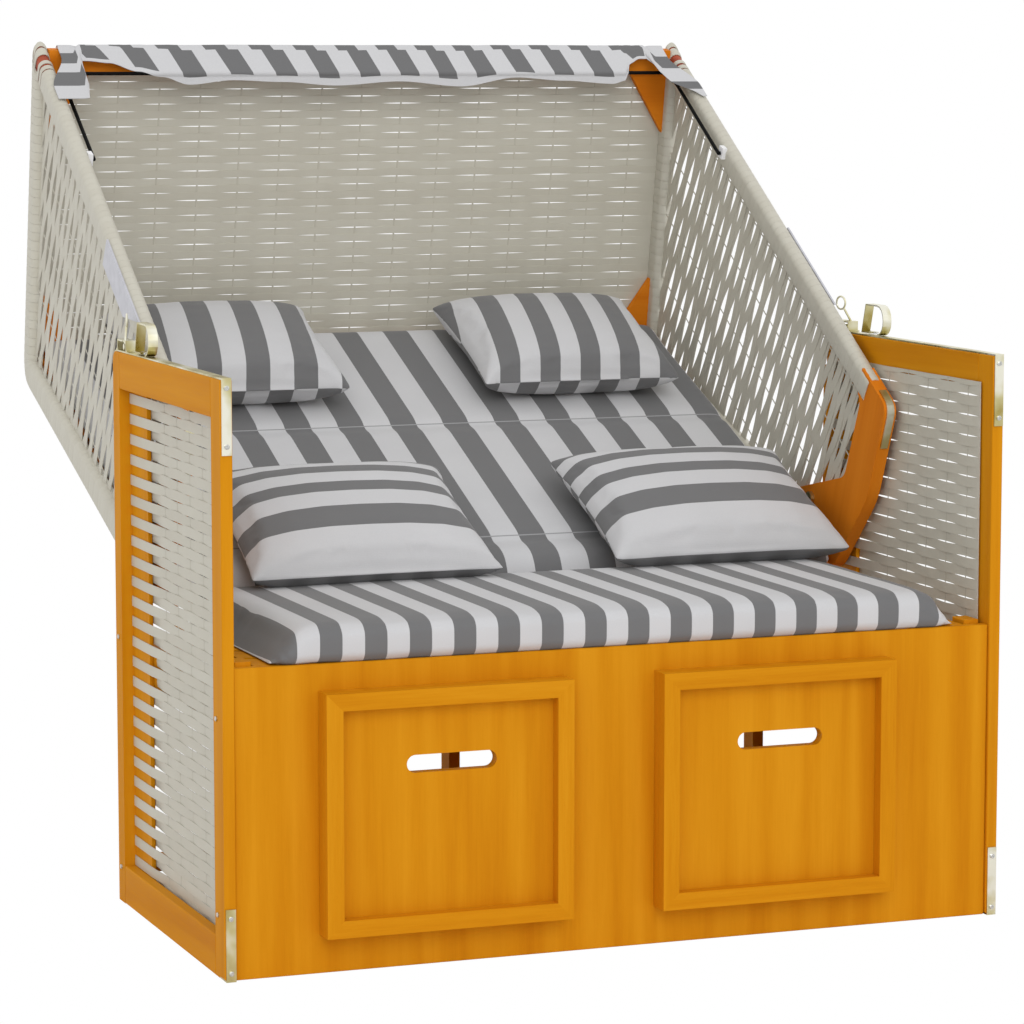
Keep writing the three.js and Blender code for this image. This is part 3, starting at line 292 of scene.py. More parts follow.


# Yellow zinc. The straps, handles, latches and pins are plated steel, pale gold with a soft gloss;
# their colour is mottled from dark khaki to near white, partly the plating's play of colour and
# partly painted reflection and highlight.
zinc, shader, paint = new_finish("yellow_zinc", Metallic=1.0)
drift = mottled(paint, 16.0, 3.0)
# the near-white and dark khaki ends of this ramp are painted highlight and painted reflection on
# the plating
paint.node("ShaderNodeValToRGB", {}, {0: drift}, stops=(
    (0.35, tint(176, 160, 98)), (0.5, tint(206, 198, 150)), (0.65, tint(236, 234, 218)))).feed(
    shader.inputs["Base Color"])
(0.2 + drift * 0.2).feed(shader.inputs["Roughness"])
roughen(paint, shader, 0.05, 0.0003, mottled(paint, 900.0, 2.0))
for word, side in sides:
    dress(zinc, f"arm_top_strap_{word}", f"arm_bottom_strap_{word}", f"arm_handle_{word}")
    dress(zinc, f"latch_bracket_{word}", f"latch_pin_{word}", f"pivot_pin_{word}")
    dress(zinc, f"hood_corner_strap_{word}")


# Screws. Pan-head screws hold the straps and the frames. All are copies of one disc with a
# raised head and a round recess in its middle.
screw_radius = 0.0036
screw_rise = 0.0018
screw_steel, shader, paint = new_finish("screw_steel", Metallic=1.0, Roughness=0.3)


def two_tone(paint, amount, low, high):
    """A colour that goes from one to the other over the middle of an amount."""
    return paint.node("ShaderNodeValToRGB", {}, {0: amount}, stops=((0.3, low), (0.7, high)))


two_tone(paint, mottled(paint, 700.0, 2.0), tint(176, 176, 172), tint(226, 226, 222)).feed(
    shader.inputs["Base Color"])

bpy.ops.mesh.primitive_cylinder_add(vertices=12, radius=screw_radius, depth=screw_rise)
screw_head = bpy.context.object
screw_head.name = "screw_pattern"
bpy.ops.object.mode_set(mode="EDIT")
bpy.ops.mesh.select_all(action="DESELECT")
bpy.ops.object.mode_set(mode="OBJECT")
for face in screw_head.data.polygons:
    face.select = face.normal.z > 0.9
bpy.ops.object.mode_set(mode="EDIT")
bpy.ops.mesh.inset(thickness=screw_radius * 0.25, depth=screw_rise * 0.35)
bpy.ops.mesh.inset(thickness=screw_radius * 0.4, depth=0)
bpy.ops.mesh.inset(thickness=screw_radius * 0.05, depth=-screw_rise * 0.5)
bpy.ops.object.mode_set(mode="OBJECT")
screw_head.data.materials.append(screw_steel)


def set_screw(name, body, place, out):
    """Copies the screw to a place, with its head facing along out."""
    head = bpy.data.objects.new(name, screw_head.data.copy())
    bpy.context.collection.objects.link(head)
    turn = Vector(out).to_track_quat("Z", "Y").to_matrix().to_4x4()
    middle = Vector(place) + Vector(out) * screw_rise / 2
    head.data.transform(Matrix.Translation(middle) @ turn)
    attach(head, body)


strap_heights = (0.813, 0.734)
rear_strap_height = 0.772
foot_heights = (0.088, 0.012)
handle_steps = (0.040, 0.058)
handle_plate = 0.0022
frame_heights = ((0.360, 0.088), (0.053, 0.400))
for word, side in sides:
    low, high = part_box(f"arm_top_strap_{word}")
    centre = (low.x + high.x) / 2
    for number, height in enumerate(strap_heights):
        set_screw(f"strap_screw_{word}_{number}", "base", (centre, low.y, height), (0, -1, 0))
    set_screw(f"strap_screw_rear_{word}", "base", (centre, high.y, rear_strap_height), (0, 1, 0))
    low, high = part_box(f"arm_bottom_strap_{word}")
    for number, height in enumerate(foot_heights):
        set_screw(f"foot_screw_{word}_{number}", "base", (centre, low.y, height), (0, -1, 0))
    low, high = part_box(f"arm_front_stile_{word}")
    outer = high.x if side > 0 else low.x
    stiles = (low.y + 0.030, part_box(f"arm_rear_stile_{word}")[1].y - 0.017)
    for stile, (across, heights) in enumerate(zip(stiles, frame_heights)):
        for number, height in enumerate(heights):
            set_screw(f"frame_screw_{word}_{stile * 2 + number}", "base", (outer, across, height),
                      (side, 0, 0))
    low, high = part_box(f"arm_handle_{word}")
    for number, step in enumerate(handle_steps):
        set_screw(f"handle_screw_{word}_{number}", "base",
                  (centre, low.y + step, low.z + handle_plate), (0, 0, 1))
bpy.data.objects.remove(screw_head)


# Woven panels. Flat plastic strands, about 15 mm wide, run in pairs on either side of thin
# round stakes, and they sway apart at every second stake, so that slits open there.
rattan_colour = tint(196, 192, 178)
rattan_dark = tint(186, 181, 166)
rattan_light = tint(205, 202, 189)


def strand_finish(name):
    material, shader, paint = new_finish(name, Roughness=0.5)
    tone = paint.node("ShaderNodeAttribute", {"attribute_name": "tone"}, out="Fac")
    across = paint.node("ShaderNodeAttribute", {"attribute_name": "across"}, out="Fac")
    mottle = mottled(paint, 30.0, 4.0)
    grain = mottled(paint, 500.0, 2.0)
    amount = tone * 0.6 + mottle * 0.3 + grain * 0.1
    paint.node("ShaderNodeValToRGB", {}, {0: amount}, stops=(
        (0.2, rattan_dark), (0.5, rattan_colour), (0.8, rattan_light))).feed(
        shader.inputs["Base Color"])
    ribs = (across * 44.0).math("SINE", across * 44.0)
    roughen(paint, shader, 0.08, 0.0004, ribs * 0.5 + grain)
    (0.42 + mottle * 0.16).feed(shader.inputs["Roughness"])
    return material


rattan = strand_finish("rattan_strand")
chance = random.Random(7)
strand_crown = 0.0002
strand_wall = 0.0009
stake_width = 0.0030
stake_depth = 0.0006
run_out = 0.04


def in_turn(p, marks, sign):
    """How far a strand stands off at p, as it passes the marks in front and behind in turn."""
    before = None
    for number, (start, end, height) in enumerate(marks):
        value = sign * height * (-1) ** number
        if p <= start:
            if before is None:
                return value * (1 + math.cos(math.pi * min((start - p) / run_out, 1))) / 2
            share = (p - before[0]) / (start - before[0])
            return before[1] + (value - before[1]) * (1 - math.cos(math.pi * share)) / 2
        if p <= end:
            return value
        before = (end, value)
    return before[1] * (1 + math.cos(math.pi * min((p - before[0]) / run_out, 1))) / 2


def pick(*parts):
    """Selects these pieces alone, the first of them active."""
    bpy.ops.object.select_all(action="DESELECT")
    for part in parts:
        part.select_set(True)
    bpy.context.view_layer.objects.active = parts[0]


def copied(name, mesh):
    """A new piece with its own copy of a mesh."""
    piece = bpy.data.objects.new(name, mesh.copy())
    bpy.context.collection.objects.link(piece)
    return piece


def join_all(name, parts):
    """Joins loose parts into one piece of that name."""
    pick(*parts)
    if len(parts) > 1:
        bpy.ops.object.join()
    whole = bpy.context.object
    whole.name = name
    whole.data.name = name
    return whole


def trim(piece, outline, close):
    """Cuts a piece to a convex outline, given anticlockwise in its X and Y."""
    pick(piece)
    bpy.ops.object.mode_set(mode="EDIT")
    for number, corner in enumerate(outline):
        after = outline[(number + 1) % len(outline)]
        run = Vector((after[0] - corner[0], after[1] - corner[1], 0))
        bpy.ops.mesh.select_all(action="SELECT")
        bpy.ops.mesh.bisect(plane_co=(corner[0], corner[1], 0), plane_no=(run.y, -run.x, 0),
                            clear_outer=True, use_fill=close)
    bpy.ops.object.mode_set(mode="OBJECT")


def thicken(piece, wall, offset=0.0):
    """Gives a sheet its wall, on both sides of it or on one."""
    modifier = piece.modifiers.new("wall", "SOLIDIFY")
    modifier.thickness = wall
    modifier.offset = offset
    modifier.use_even_offset = False
    bpy.context.view_layer.objects.active = piece
    bpy.ops.object.modifier_apply(modifier="wall")


def weave(name, place, outline, pitch, first, stakes, lift, sways, body, node,
          leaf=None, wander=0.0, step=0.0095):
    """Weaves a flat panel: strands run along X, stakes along Y, and place stands it up.

    First is the middle of the first strand. Lift is how far a strand stands off at a stake,
    and sways how far it leans along each stake, which opens the slits. Leaf is the start and
    the end of a board that the strands pass in turn on either side, and how far they stand
    off there. Wander varies the slits, and step is the spacing of points along a strand.
    """
    start, end = min(corner[0] for corner in outline), max(corner[0] for corner in outline)
    bottom, top = min(corner[1] for corner in outline), max(corner[1] for corner in outline)
    steps = round((end - start) / step)
    rows = []
    row_number = 0
    q = first
    while q - pitch / 2 < top:
        sign = 1 if row_number % 2 == 0 else -1
        marks = [(s, s, lift) for s in stakes]
        swings = [(s, s, sways[k % len(sways)] * (1 + wander * chance.uniform(-1, 1)))
                  for k, s in enumerate(stakes)]
        if leaf:
            marks.append(leaf)
            swings.append((leaf[0], leaf[1], 0.0))
        if q + pitch / 2 > bottom:
            if not rows:
                bpy.ops.mesh.primitive_grid_add(x_subdivisions=steps, y_subdivisions=2, size=1)
                row = bpy.context.object
                row.data.attributes.new("tone", "FLOAT", "POINT")
                row.data.attributes.new("across", "FLOAT", "POINT")
                flat = [corner.co.copy() for corner in row.data.vertices]
            else:
                row = copied(name, rows[0].data)
            tone = 0.5 + chance.uniform(-0.15, 0.15)
            values = []
            for corner, rest in zip(row.data.vertices, flat):
                p = start + (rest.x + 0.5) * (end - start)
                edge = rest.y * 2
                crown = strand_crown * (1 - edge * edge)
                out = in_turn(p, marks, sign)
                corner.co = (p, q + edge * pitch / 2 + in_turn(p, swings, sign), out + crown)
                values.append(edge)
            row.data.attributes["tone"].data.foreach_set("value", [tone] * len(values))
            row.data.attributes["across"].data.foreach_set("value", values)
            rows.append(row)
        row_number += 1
        q += pitch
    cloth = join_all(name, rows)
    trim(cloth, outline, False)
    thicken(cloth, strand_wall)
    posts = []
    for s in stakes:
        bpy.ops.mesh.primitive_cylinder_add(
            vertices=8, radius=0.5, depth=top - bottom,
            location=(s, (top + bottom) / 2, 0), rotation=(math.pi / 2, 0, 0))
        post = bpy.context.object
        post.scale = (stake_width, stake_depth, 1)
        bpy.ops.object.transform_apply()
        posts.append(post)
    rods = join_all(name + "_stakes", posts)
    trim(rods, outline, True)
    bpy.ops.object.shade_smooth_by_angle(angle=math.radians(40))
    for attribute in ("tone", "across"):
        made = rods.data.attributes.new(attribute, "FLOAT", "POINT")
        made.data.foreach_set("value", [0.3] * len(rods.data.vertices))
    whole = join_all(name, [cloth, rods])
    whole.data.transform(place)
    whole.data.materials.clear()
    whole.data.materials.append(rattan)
    bpy.ops.object.shade_smooth_by_angle(angle=math.radians(35))
    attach(whole, body)
    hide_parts(node)


# Arm panels: level strands that end at the front stile and pass the rear stile's thin leaf
# in turn outside and inside, so that the leaf shows as a column of squares.
arm_middle = 0.5698
arm_pitch = 0.015
arm_stakes = 0.0645
arm_lift = 0.0007
arm_sways = (0.0010,)
leaf_lift = 0.0041
board_depth = 0.0343
leaf_depth = 0.124
stake_ahead = 0.092
stake_aside = 0.011
for word, side in sides:
    low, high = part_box(f"arm_weave_{word}")
    stile_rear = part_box(f"arm_rear_stile_{word}")[1].y
    board_front = stile_rear - board_depth
    leaf_front = stile_rear - leaf_depth
    last_stake = leaf_front - stake_ahead - stake_aside * side
    weave_end = board_front - 0.0003
    weave(
        f"arm_panel_{word}",
        Matrix(((0, 0, side, side * arm_middle), (1, 0, 0, 0), (0, 1, 0, 0), (0, 0, 0, 1))),
        [(low.y, low.z), (weave_end, low.z), (weave_end, high.z), (low.y, high.z)],
        arm_pitch, low.z + arm_pitch / 2, [last_stake - arm_stakes * k for k in range(4, -1, -1)],
        arm_lift, arm_sways, "base", f"arm_weave_{word}",
        leaf=(leaf_front - 0.002, board_front + 0.01, leaf_lift), wander=0.5,
    )


# Hood panels. The sides' strands run square to the front bar, with wide slits; the roof and
# the back have level strands that lie closer.
# In the hood's own axes Y runs up the back from the heel and Z forward from it.
heel = Vector((0, -0.135844, 0.452))
hood_place = Matrix.Translation(heel) @ Matrix.Rotation(recline, 4, "X")
back_length = 0.825
roof_depth = 0.553
front_slope = 0.218 / 0.940
front_angle = math.atan(front_slope)
front_bar = 0.042
rear_bar = 0.046
roof_bar = 0.040


def front_edge(along):
    """The front bar's outer edge at a place along the back."""
    return 0.335 + (along + 0.028) * front_slope


def inner_front(along):
    return front_edge(along) - front_bar / math.cos(front_angle)


roof_angle = math.atan2(roof_depth, 0.087)


def roof_inner(forward):
    """The roof bar's inner edge at a place forward of the back."""
    return back_length + forward / math.tan(roof_angle) - roof_bar / math.sin(roof_angle)


roof_top = inner_front(0.872)
window = [
    (0.200, rear_bar), (roof_inner(rear_bar), rear_bar), (roof_inner(roof_top), roof_top),
    (-0.002, inner_front(-0.002)), (0.008, 0.160),
]
hood_half = 0.5505
cosine, sine = math.cos(front_angle), math.sin(front_angle)
side_pitch = 0.0155
side_first = 0.582 - 0.031 * 21 + side_pitch / 2
side_stakes = 0.099
side_lift = 0.0005
side_sways = (0.0064, 0.0064, 0.0064, 0.0062, 0.0048)
stake_from_bar = 0.0124
for word, side in sides:
    # strands run square to the front bar and stakes along it
    skew = Matrix(((0, 0, side, side * hood_half), (-sine, cosine, 0, 0),
                   (cosine, sine, 0, 0), (0, 0, 0, 1)))
    outline = [(-sine * u + cosine * v, cosine * u + sine * v) for u, v in reversed(window)]
    last_stake = cosine * inner_front(0.0) - stake_from_bar
    weave(
        f"hood_panel_{word}", hood_place @ skew, outline,
        side_pitch, side_first, [last_stake - side_stakes * k for k in range(4, -1, -1)],
        side_lift, side_sways, "hood", f"hood_side_weave_{word}", wander=0.45,
    )

roof_place = (hood_place @ Matrix.Translation((0, back_length, 0))
              @ Matrix.Rotation(roof_angle, 4, "X"))
level_half = 0.540
level_low = 0.015
level_pitch = 0.0124
level_first = 0.0191
level_stakes = [0.0679 + 0.0695 * k for k in range(-8, 7)]
level_lift = 0.0008
# wide and narrow slits take turns from stake to stake, outwards from the middle
level_sways = [0.0010 if (k % 2 == 0) == (k >= 0) else 0.0008 for k in range(-8, 7)]
for name, place, reach, step in (
    ("roof", roof_place @ Matrix.Translation((0, 0, 0.009)), 0.545, 0.0095),
    ("back", hood_place @ Matrix.Translation((0, 0, -0.004)), 0.810, 0.012),
):
    weave(
        f"{name}_panel", place,
        [(-level_half, level_low), (level_half, level_low),
         (level_half, reach), (-level_half, reach)],
        level_pitch, level_first, level_stakes, level_lift, level_sways,
        "hood", f"{name}_weave", wander=0.2, step=step,
    )


# Wrapped bars. The hood's side is a thick board from its chin to its heel, and slim bars in
# front, over the roof and along the back. The same flat strand is wound round the bars, turn
# beside turn, and near the peak the turns part a little and the wood shows.
turn_width = 0.0146
half_bar = 0.0118
side_plane = Matrix(((0, 0, 1, 0), (1, 0, 0, 0), (0, 1, 0, 0), (0, 0, 0, 1)))
# the core's wood is painted a dark red-brown, far darker than the stain: painted shade, for the
# deep gaps between the turns
core_shade_wood, shader, paint = new_finish("shaded_core", Roughness=0.6)
two_tone(paint, mottled(paint, 40.0, 3.0), tint(140, 52, 30), tint(176, 78, 42)).feed(
    shader.inputs["Base Color"])

# the bars' middle line, from the chin over the peak and down the back, with each bar's depth
front_middle = front_bar / 2 / cosine
roof_middle = back_length - roof_bar / 2 / math.sin(roof_angle)
roof_run = math.atan2(-math.sin(roof_angle), -math.cos(roof_angle))
peak_v = (front_edge(0) - front_middle + front_slope * roof_middle) / (
    1 - front_slope / math.tan(roof_angle))
peak_u = roof_middle + peak_v / math.tan(roof_angle)
bar_line_points = [
    (-0.021, front_edge(-0.021) - front_middle, front_bar),
    (peak_u, peak_v, roof_bar),
    (roof_middle + 0.023 / math.tan(roof_angle), 0.040, roof_bar),
    (0.795, 0.024, rear_bar),
    (0.775, 0.023, rear_bar),
    (0.150, 0.023, rear_bar),
]
strand_proud = 0.0015
strand_round = 0.0003
core_inset = 0.0016
bar_wall = 0.0014
peak_reach = 0.080
wide_gap, thin_gap = 0.38, 0.02
chin_outlines = (
    [(-0.150, -0.050), (0.010, -0.050), (0.010, 0.400), (-0.150, 0.400)],
    [(0.010, -0.050), (0.200, -0.050), (0.200, 0.250), (0.010, 0.250)],
)
bar_step = 0.002
bend_walk = 0.030
corner_low = 0.84
skew_gain, skew_most, reach_most = 1.35, 1.05, 1.9
# the place of the latches' bolts at the hood's sides
bolt = hood_place.inverted() @ Vector((0, -0.1118, 0.8337))
bolt_hole = 0.0040
bolt_depth = 0.012
merge_reach = 0.00002


def merge_corners(piece, reach, outward=True):
    """Merges the corners that meet, and can turn the faces outward."""
    pick(piece)
    bpy.ops.object.mode_set(mode="EDIT")
    bpy.ops.mesh.select_all(action="SELECT")
    bpy.ops.mesh.remove_doubles(threshold=reach)
    if outward:
        bpy.ops.mesh.normals_make_consistent(inside=False)
    bpy.ops.object.mode_set(mode="OBJECT")


def bar_stations(points, blur, spacing):
    """Stations along the bars, each with its place, depth, direction and outer reach."""
    steps = []
    for (u0, v0, d0), (u1, v1, d1) in zip(points, points[1:]):
        count = max(round(math.hypot(u1 - u0, v1 - v0) / bar_step), 1)
        steps += [(u0 + (u1 - u0) * k / count, v0 + (v1 - v0) * k / count,
                   d0 + (d1 - d0) * k / count) for k in range(count)]
    steps.append(points[-1])
    near = [steps[max(k - blur, 0):k + blur + 1] for k in range(len(steps))]
    smooth = [tuple(sum(value) / len(some) for value in zip(*some)) for some in near]
    stations = []
    walked, heading = spacing, front_angle
    for (u0, v0, _), (u1, v1, depth) in zip(smooth, smooth[1:]):
        turn = math.atan2(v1 - v0, u1 - u0)
        turn -= math.tau * round((turn - heading) / math.tau)
        walked += math.hypot(u1 - u0, v1 - v0) + abs(turn - heading) * bend_walk
        heading = turn
        if walked >= spacing:
            walked -= spacing
            # where the bars meet at the peak, the turns reach out to the corner
            skewed = min(abs(heading - front_angle), abs(heading - roof_run))
            skewed = min(skewed * skew_gain, skew_most) if u1 > corner_low else 0
            reach = min(1 / math.cos(skewed), reach_most)
            stations.append((u1, v1, depth, heading, reach))
    return stations


def bar_point(station, out, up):
    """A place beside a station of the bars, in the hood's own axes."""
    u, v, depth, heading, reach = station
    lifted = up * reach if up > 0 else up
    return Vector((out, u - math.sin(heading) * lifted, v + math.cos(heading) * lifted))


def bar_outline(station, turn, half):
    """A place on the round-ended outline of the bar at a station."""
    flat = math.copysign(station[2] / 2 + strand_proud - half_bar, math.sin(turn) + 0.000001)
    return bar_point(station, math.cos(turn) * half, math.sin(turn) * half + flat)


def bar_turn(name, before, after, gap):
    """One turn of strand round the bar, between two of its stations."""
    bpy.ops.mesh.primitive_grid_add(x_subdivisions=32, y_subdivisions=3, size=1)
    ring = bpy.context.object
    ring.name = name
    ring.data.attributes.new("tone", "FLOAT", "POINT")
    ring.data.attributes.new("across", "FLOAT", "POINT")
    values = []
    for corner in ring.data.vertices:
        turn = corner.co.x * math.tau
        edge = corner.co.y * 2
        share = (1 + edge * (1 - gap)) / 2
        station = tuple(a + (b - a) * share for a, b in zip(before, after))
        corner.co = bar_outline(station, turn, half_bar + strand_round * (1 - edge * edge))
        values.append(edge)
    tone = 0.6 + chance.uniform(-0.1, 0.1)
    ring.data.attributes["across"].data.foreach_set("value", values)
    ring.data.attributes["tone"].data.foreach_set("value", [tone] * len(values))
    return ring


for word, side in sides:
    boards = []
    for outline in chin_outlines:
        board = copied("board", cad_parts[f"hood_side_frame_{word}"].data)
        merge_corners(board, merge_reach, outward=False)
        board.data.transform((hood_place @ side_plane).inverted())
        trim(board, outline, True)
        boards.append(board)
    chin = join_all(f"chin_board_{word}", boards)
    chin.data.transform(hood_place @ side_plane)
    chin.data.materials.clear()
    chin.data.materials.append(chin_wood)
    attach(chin, "hood")
    stations = bar_stations(bar_line_points, 4, turn_width)
    bpy.ops.mesh.primitive_grid_add(x_subdivisions=16, y_subdivisions=len(stations) - 1, size=1)
    core = bpy.context.object
    core.name = f"bar_core_{word}"
    for corner in core.data.vertices:
        station = stations[round((corner.co.y + 0.5) * (len(stations) - 1))]
        corner.co = bar_outline(station, corner.co.x * math.tau, half_bar - core_inset)
    rings = []
    for before, after in zip(stations, stations[1:]):
        away = math.hypot(before[0] - peak_u, before[1] - peak_v)
        parted = before[3] > -0.9 and away < peak_reach and len(rings) % 4 < 2
        rings.append(bar_turn("wrap", before, after, wide_gap if parted else thin_gap))
    wrap = join_all(f"bar_wrap_{word}", rings)
    for piece in (core, wrap):
        merge_corners(piece, merge_reach)
        thicken(piece, bar_wall, -1.0)
        # a round hole in the bar's outer wall, for the latch's bolt
        bpy.ops.mesh.primitive_cylinder_add(
            vertices=16, radius=bolt_hole, depth=bolt_depth,
            location=(side * half_bar, bolt.y, bolt.z), rotation=(0, math.pi / 2, 0))
        drill = bpy.context.object
        hole = piece.modifiers.new("bolt_hole", "BOOLEAN")
        hole.operation = "DIFFERENCE"
        hole.solver = "EXACT"
        hole.object = drill
        pick(piece)
        bpy.ops.object.modifier_apply(modifier="bolt_hole")
        bpy.data.objects.remove(drill)
        piece.data.transform(hood_place @ Matrix.Translation((side * hood_half, 0, 0)))
        piece.data.materials.clear()
        piece.data.materials.append(rattan if piece is wrap else core_shade_wood)
        bpy.ops.object.shade_smooth_by_angle(angle=math.radians(50))
        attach(piece, "hood")
    for piece in (chin, core, wrap):
        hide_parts(f"hood_side_frame_{word}")


# Small fittings of the hood: white moulded clips, grey moulded rub plates, and the canopy's
# black bow, bent from steel rod.
for name, low, high, part in (
    ("white_plastic", tint(236, 236, 238), tint(245, 245, 246), "bow_clip"),
    ("grey_plastic", tint(186, 186, 193), tint(198, 198, 205), "rub_plate"),
):
    plastic, shader, paint = new_finish(name, Roughness=0.38)
    haze = mottled(paint, 60.0, 3.0)
    two_tone(paint, haze, low, high).feed(shader.inputs["Base Color"])
    roughen(paint, shader, 0.05, 0.0003, haze)
    dress(plastic, f"{part}_left", f"{part}_right")
black_steel, shader, paint = new_finish("black_steel", Specular_IOR_Level=0.08)
haze = mottled(paint, 300.0, 3.0)
two_tone(paint, haze, tint(4, 4, 4), tint(14, 13, 12)).feed(shader.inputs["Base Color"])
(0.4 + haze * 0.2).feed(shader.inputs["Roughness"])
dress(black_steel, "canopy_bow")


# Cushions. Each is a sewn cover stuffed tight: a seat cushion with square ends, a back pad
# in three sewn parts, two head pillows and two large pillows.
cloth_light = tint(203, 203, 205)
cloth_dark = tint(110, 110, 111)
thread = 4200.0
fluff_scale = 900.0
pillow_seam = 0.0833
seam_half = 0.0012
seam_grey = 0.62
cover_merge = 0.00005
filling_frames = 20


def cloth_colour(paint, shader, dark, amount):
    """Light cloth, or dark cloth where dark is one, faintly mottled by an amount."""
    light_tone, dark_tone = (two_tone(
        paint, amount, tuple(part * 0.94 for part in colour), tuple(part * 1.05 for part in colour))
        for colour in (cloth_light, cloth_dark))
    paint.node("ShaderNodeMix", {"data_type": "RGBA"}, {0: dark, 6: light_tone, 7: dark_tone},
               out=2).feed(shader.inputs["Base Color"])


def striped(name, stripe, tilt=0.0, origin=(0, 0, 0)):
    """Woven cloth. Stripe takes the place in the cushion's own axes and says where it is dark."""
    material, shader, paint = new_finish(name, Roughness=0.9)
    place = paint.node("ShaderNodeTexCoord", out="Object")
    moved = paint.node("ShaderNodeVectorMath", {"operation": "SUBTRACT"}, {0: place, 1: origin})
    own = paint.node("ShaderNodeMapping", {}, {"Vector": moved, "Rotation": (-tilt, 0, 0)})
    x = paint.node("ShaderNodeSeparateXYZ", {}, {0: own})
    y, z = (Shade(paint.tree, x.socket.node.outputs[k]) for k in (1, 2))
    fluff = mottled(paint, fluff_scale, 3.0)
    cloth_colour(paint, shader, stripe(x, y, z), fluff * 0.6 + mottled(paint, 9.0, 3.0) * 0.4)
    warp, weft = ((way * thread).math("SINE", way * thread) for way in (x, y))
    roughen(paint, shader, 0.18, 0.0004, (warp + weft) * 0.3 + fluff)
    shader.inputs["Sheen Weight"].default_value = 0.15
    return material


def bands(value, pitch, shift=0.0, share=0.5):
    """One where value lies in the dark share of each pitch."""
    turn = (value * (1 / pitch) + shift).math("FRACT", value * (1 / pitch) + shift)
    return turn.math("LESS_THAN", turn, share)


def stuff(name, node, voxel, pressure, cap, grow, shift=(0, 0, 0), easings=2):
    """Fills the cover of a CAD node: remeshed, blown up as cloth and smoothed.

    Grow and shift set the cover's size and place first, cap is the most that a corner moves
    as it is blown up, and easings is how often it is smoothed.
    """
    piece = copied(name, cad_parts[node].data)
    merge_corners(piece, cover_merge)
    remesh = piece.modifiers.new("cover", "REMESH")
    remesh.mode = "VOXEL"
    remesh.voxel_size = voxel
    bpy.ops.object.modifier_apply(modifier="cover")
    low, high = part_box(node)
    middle = (low + high) / 2
    for corner in piece.data.vertices:
        corner.co = middle + Matrix.Diagonal(grow) @ (corner.co - middle) + Vector(shift)
    before = [corner.co.copy() for corner in piece.data.vertices]
    cover = piece.modifiers.new("filling", "CLOTH")
    cover.settings.use_pressure = True
    cover.settings.uniform_pressure_force = pressure
    cover.settings.effector_weights.gravity = 0
    cover.settings.tension_stiffness = 15
    cover.settings.bending_stiffness = 0.5
    for step in range(1, filling_frames + 1):
        bpy.context.scene.frame_set(step)
    bpy.ops.object.modifier_apply(modifier="filling")
    for corner, rest in zip(piece.data.vertices, before):
        move = corner.co - rest
        if move.length > cap:
            corner.co = rest + move * (cap / move.length)
    bpy.context.scene.frame_set(1)
    ease = piece.modifiers.new("ease", "SMOOTH")
    ease.factor = 0.5
    ease.iterations = easings
    bpy.ops.object.modifier_apply(modifier="ease")
    fine = piece.modifiers.new("fine", "SUBSURF")
    fine.levels = fine.render_levels = 1
    bpy.ops.object.modifier_apply(modifier="fine")
    bpy.ops.object.shade_smooth()
    piece.data.materials.clear()
    return piece


def between(value, low, high):
    """One where value lies between two places."""
    return value.math("GREATER_THAN", value, low) * value.math("LESS_THAN", value, high)


def across_bands(value, spans):
    """One where value lies in one of the spans, which don't overlap."""
    dark = between(value, *spans[0])
    for span in spans[1:]:
        dark = dark + between(value, *span)
    return dark


def swapped(dark, height):
    """The same stripes above a pillow's seam, and light for dark under it."""
    under = height.math("LESS_THAN", height, pillow_seam)
    return (dark - under).math("ABSOLUTE", dark - under)


def sewn(dark, along, seams):
    """The stripes with a thin grey line along each seam."""
    for seam in seams:
        line = between(along, seam - seam_half, seam + seam_half)
        dark = dark * (1 - line) + line * seam_grey
    return dark


seat_pitch, seat_shift = 0.06493, 0.954
seat_cloth = striped("seat_stripes", lambda x, y, z: bands(x, seat_pitch, seat_shift))
seat_cushion = stuff("seat_cushion_cover", "seat_cushion", voxel=0.008, pressure=3.0,
                     cap=0.006, grow=(1.008, 1.008, 1.008))
seat_cushion.data.materials.append(seat_cloth)
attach(seat_cushion, "base")
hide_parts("seat_cushion")

pad_tilt = math.radians(3.15)
pad_place = hood_place @ Matrix.Translation((0, 0, 0.010)) @ Matrix.Rotation(pad_tilt, 4, "X")
pad_origin = tuple(pad_place.translation)
pad_lean = recline + pad_tilt
slope = Vector((0, math.cos(pad_lean), math.sin(pad_lean)))
pad_pitch, pad_shift, pad_share = 0.0889, 0.55, 0.49
pad_seams = (0.083, 0.453)
pad_cloth = striped("pad_stripes", lambda x, y, z: sewn(
    bands(x, pad_pitch, pad_shift, pad_share), y, pad_seams), pad_lean, pad_origin)
back_pad = stuff("back_pad_cover", "back_pad", voxel=0.009, pressure=1.0, cap=0.003,
                 grow=(1.015, 1.015, 1.015), shift=slope * 0.008, easings=8)
back_pad.data.materials.append(pad_cloth)
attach(back_pad, "hood")
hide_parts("back_pad")

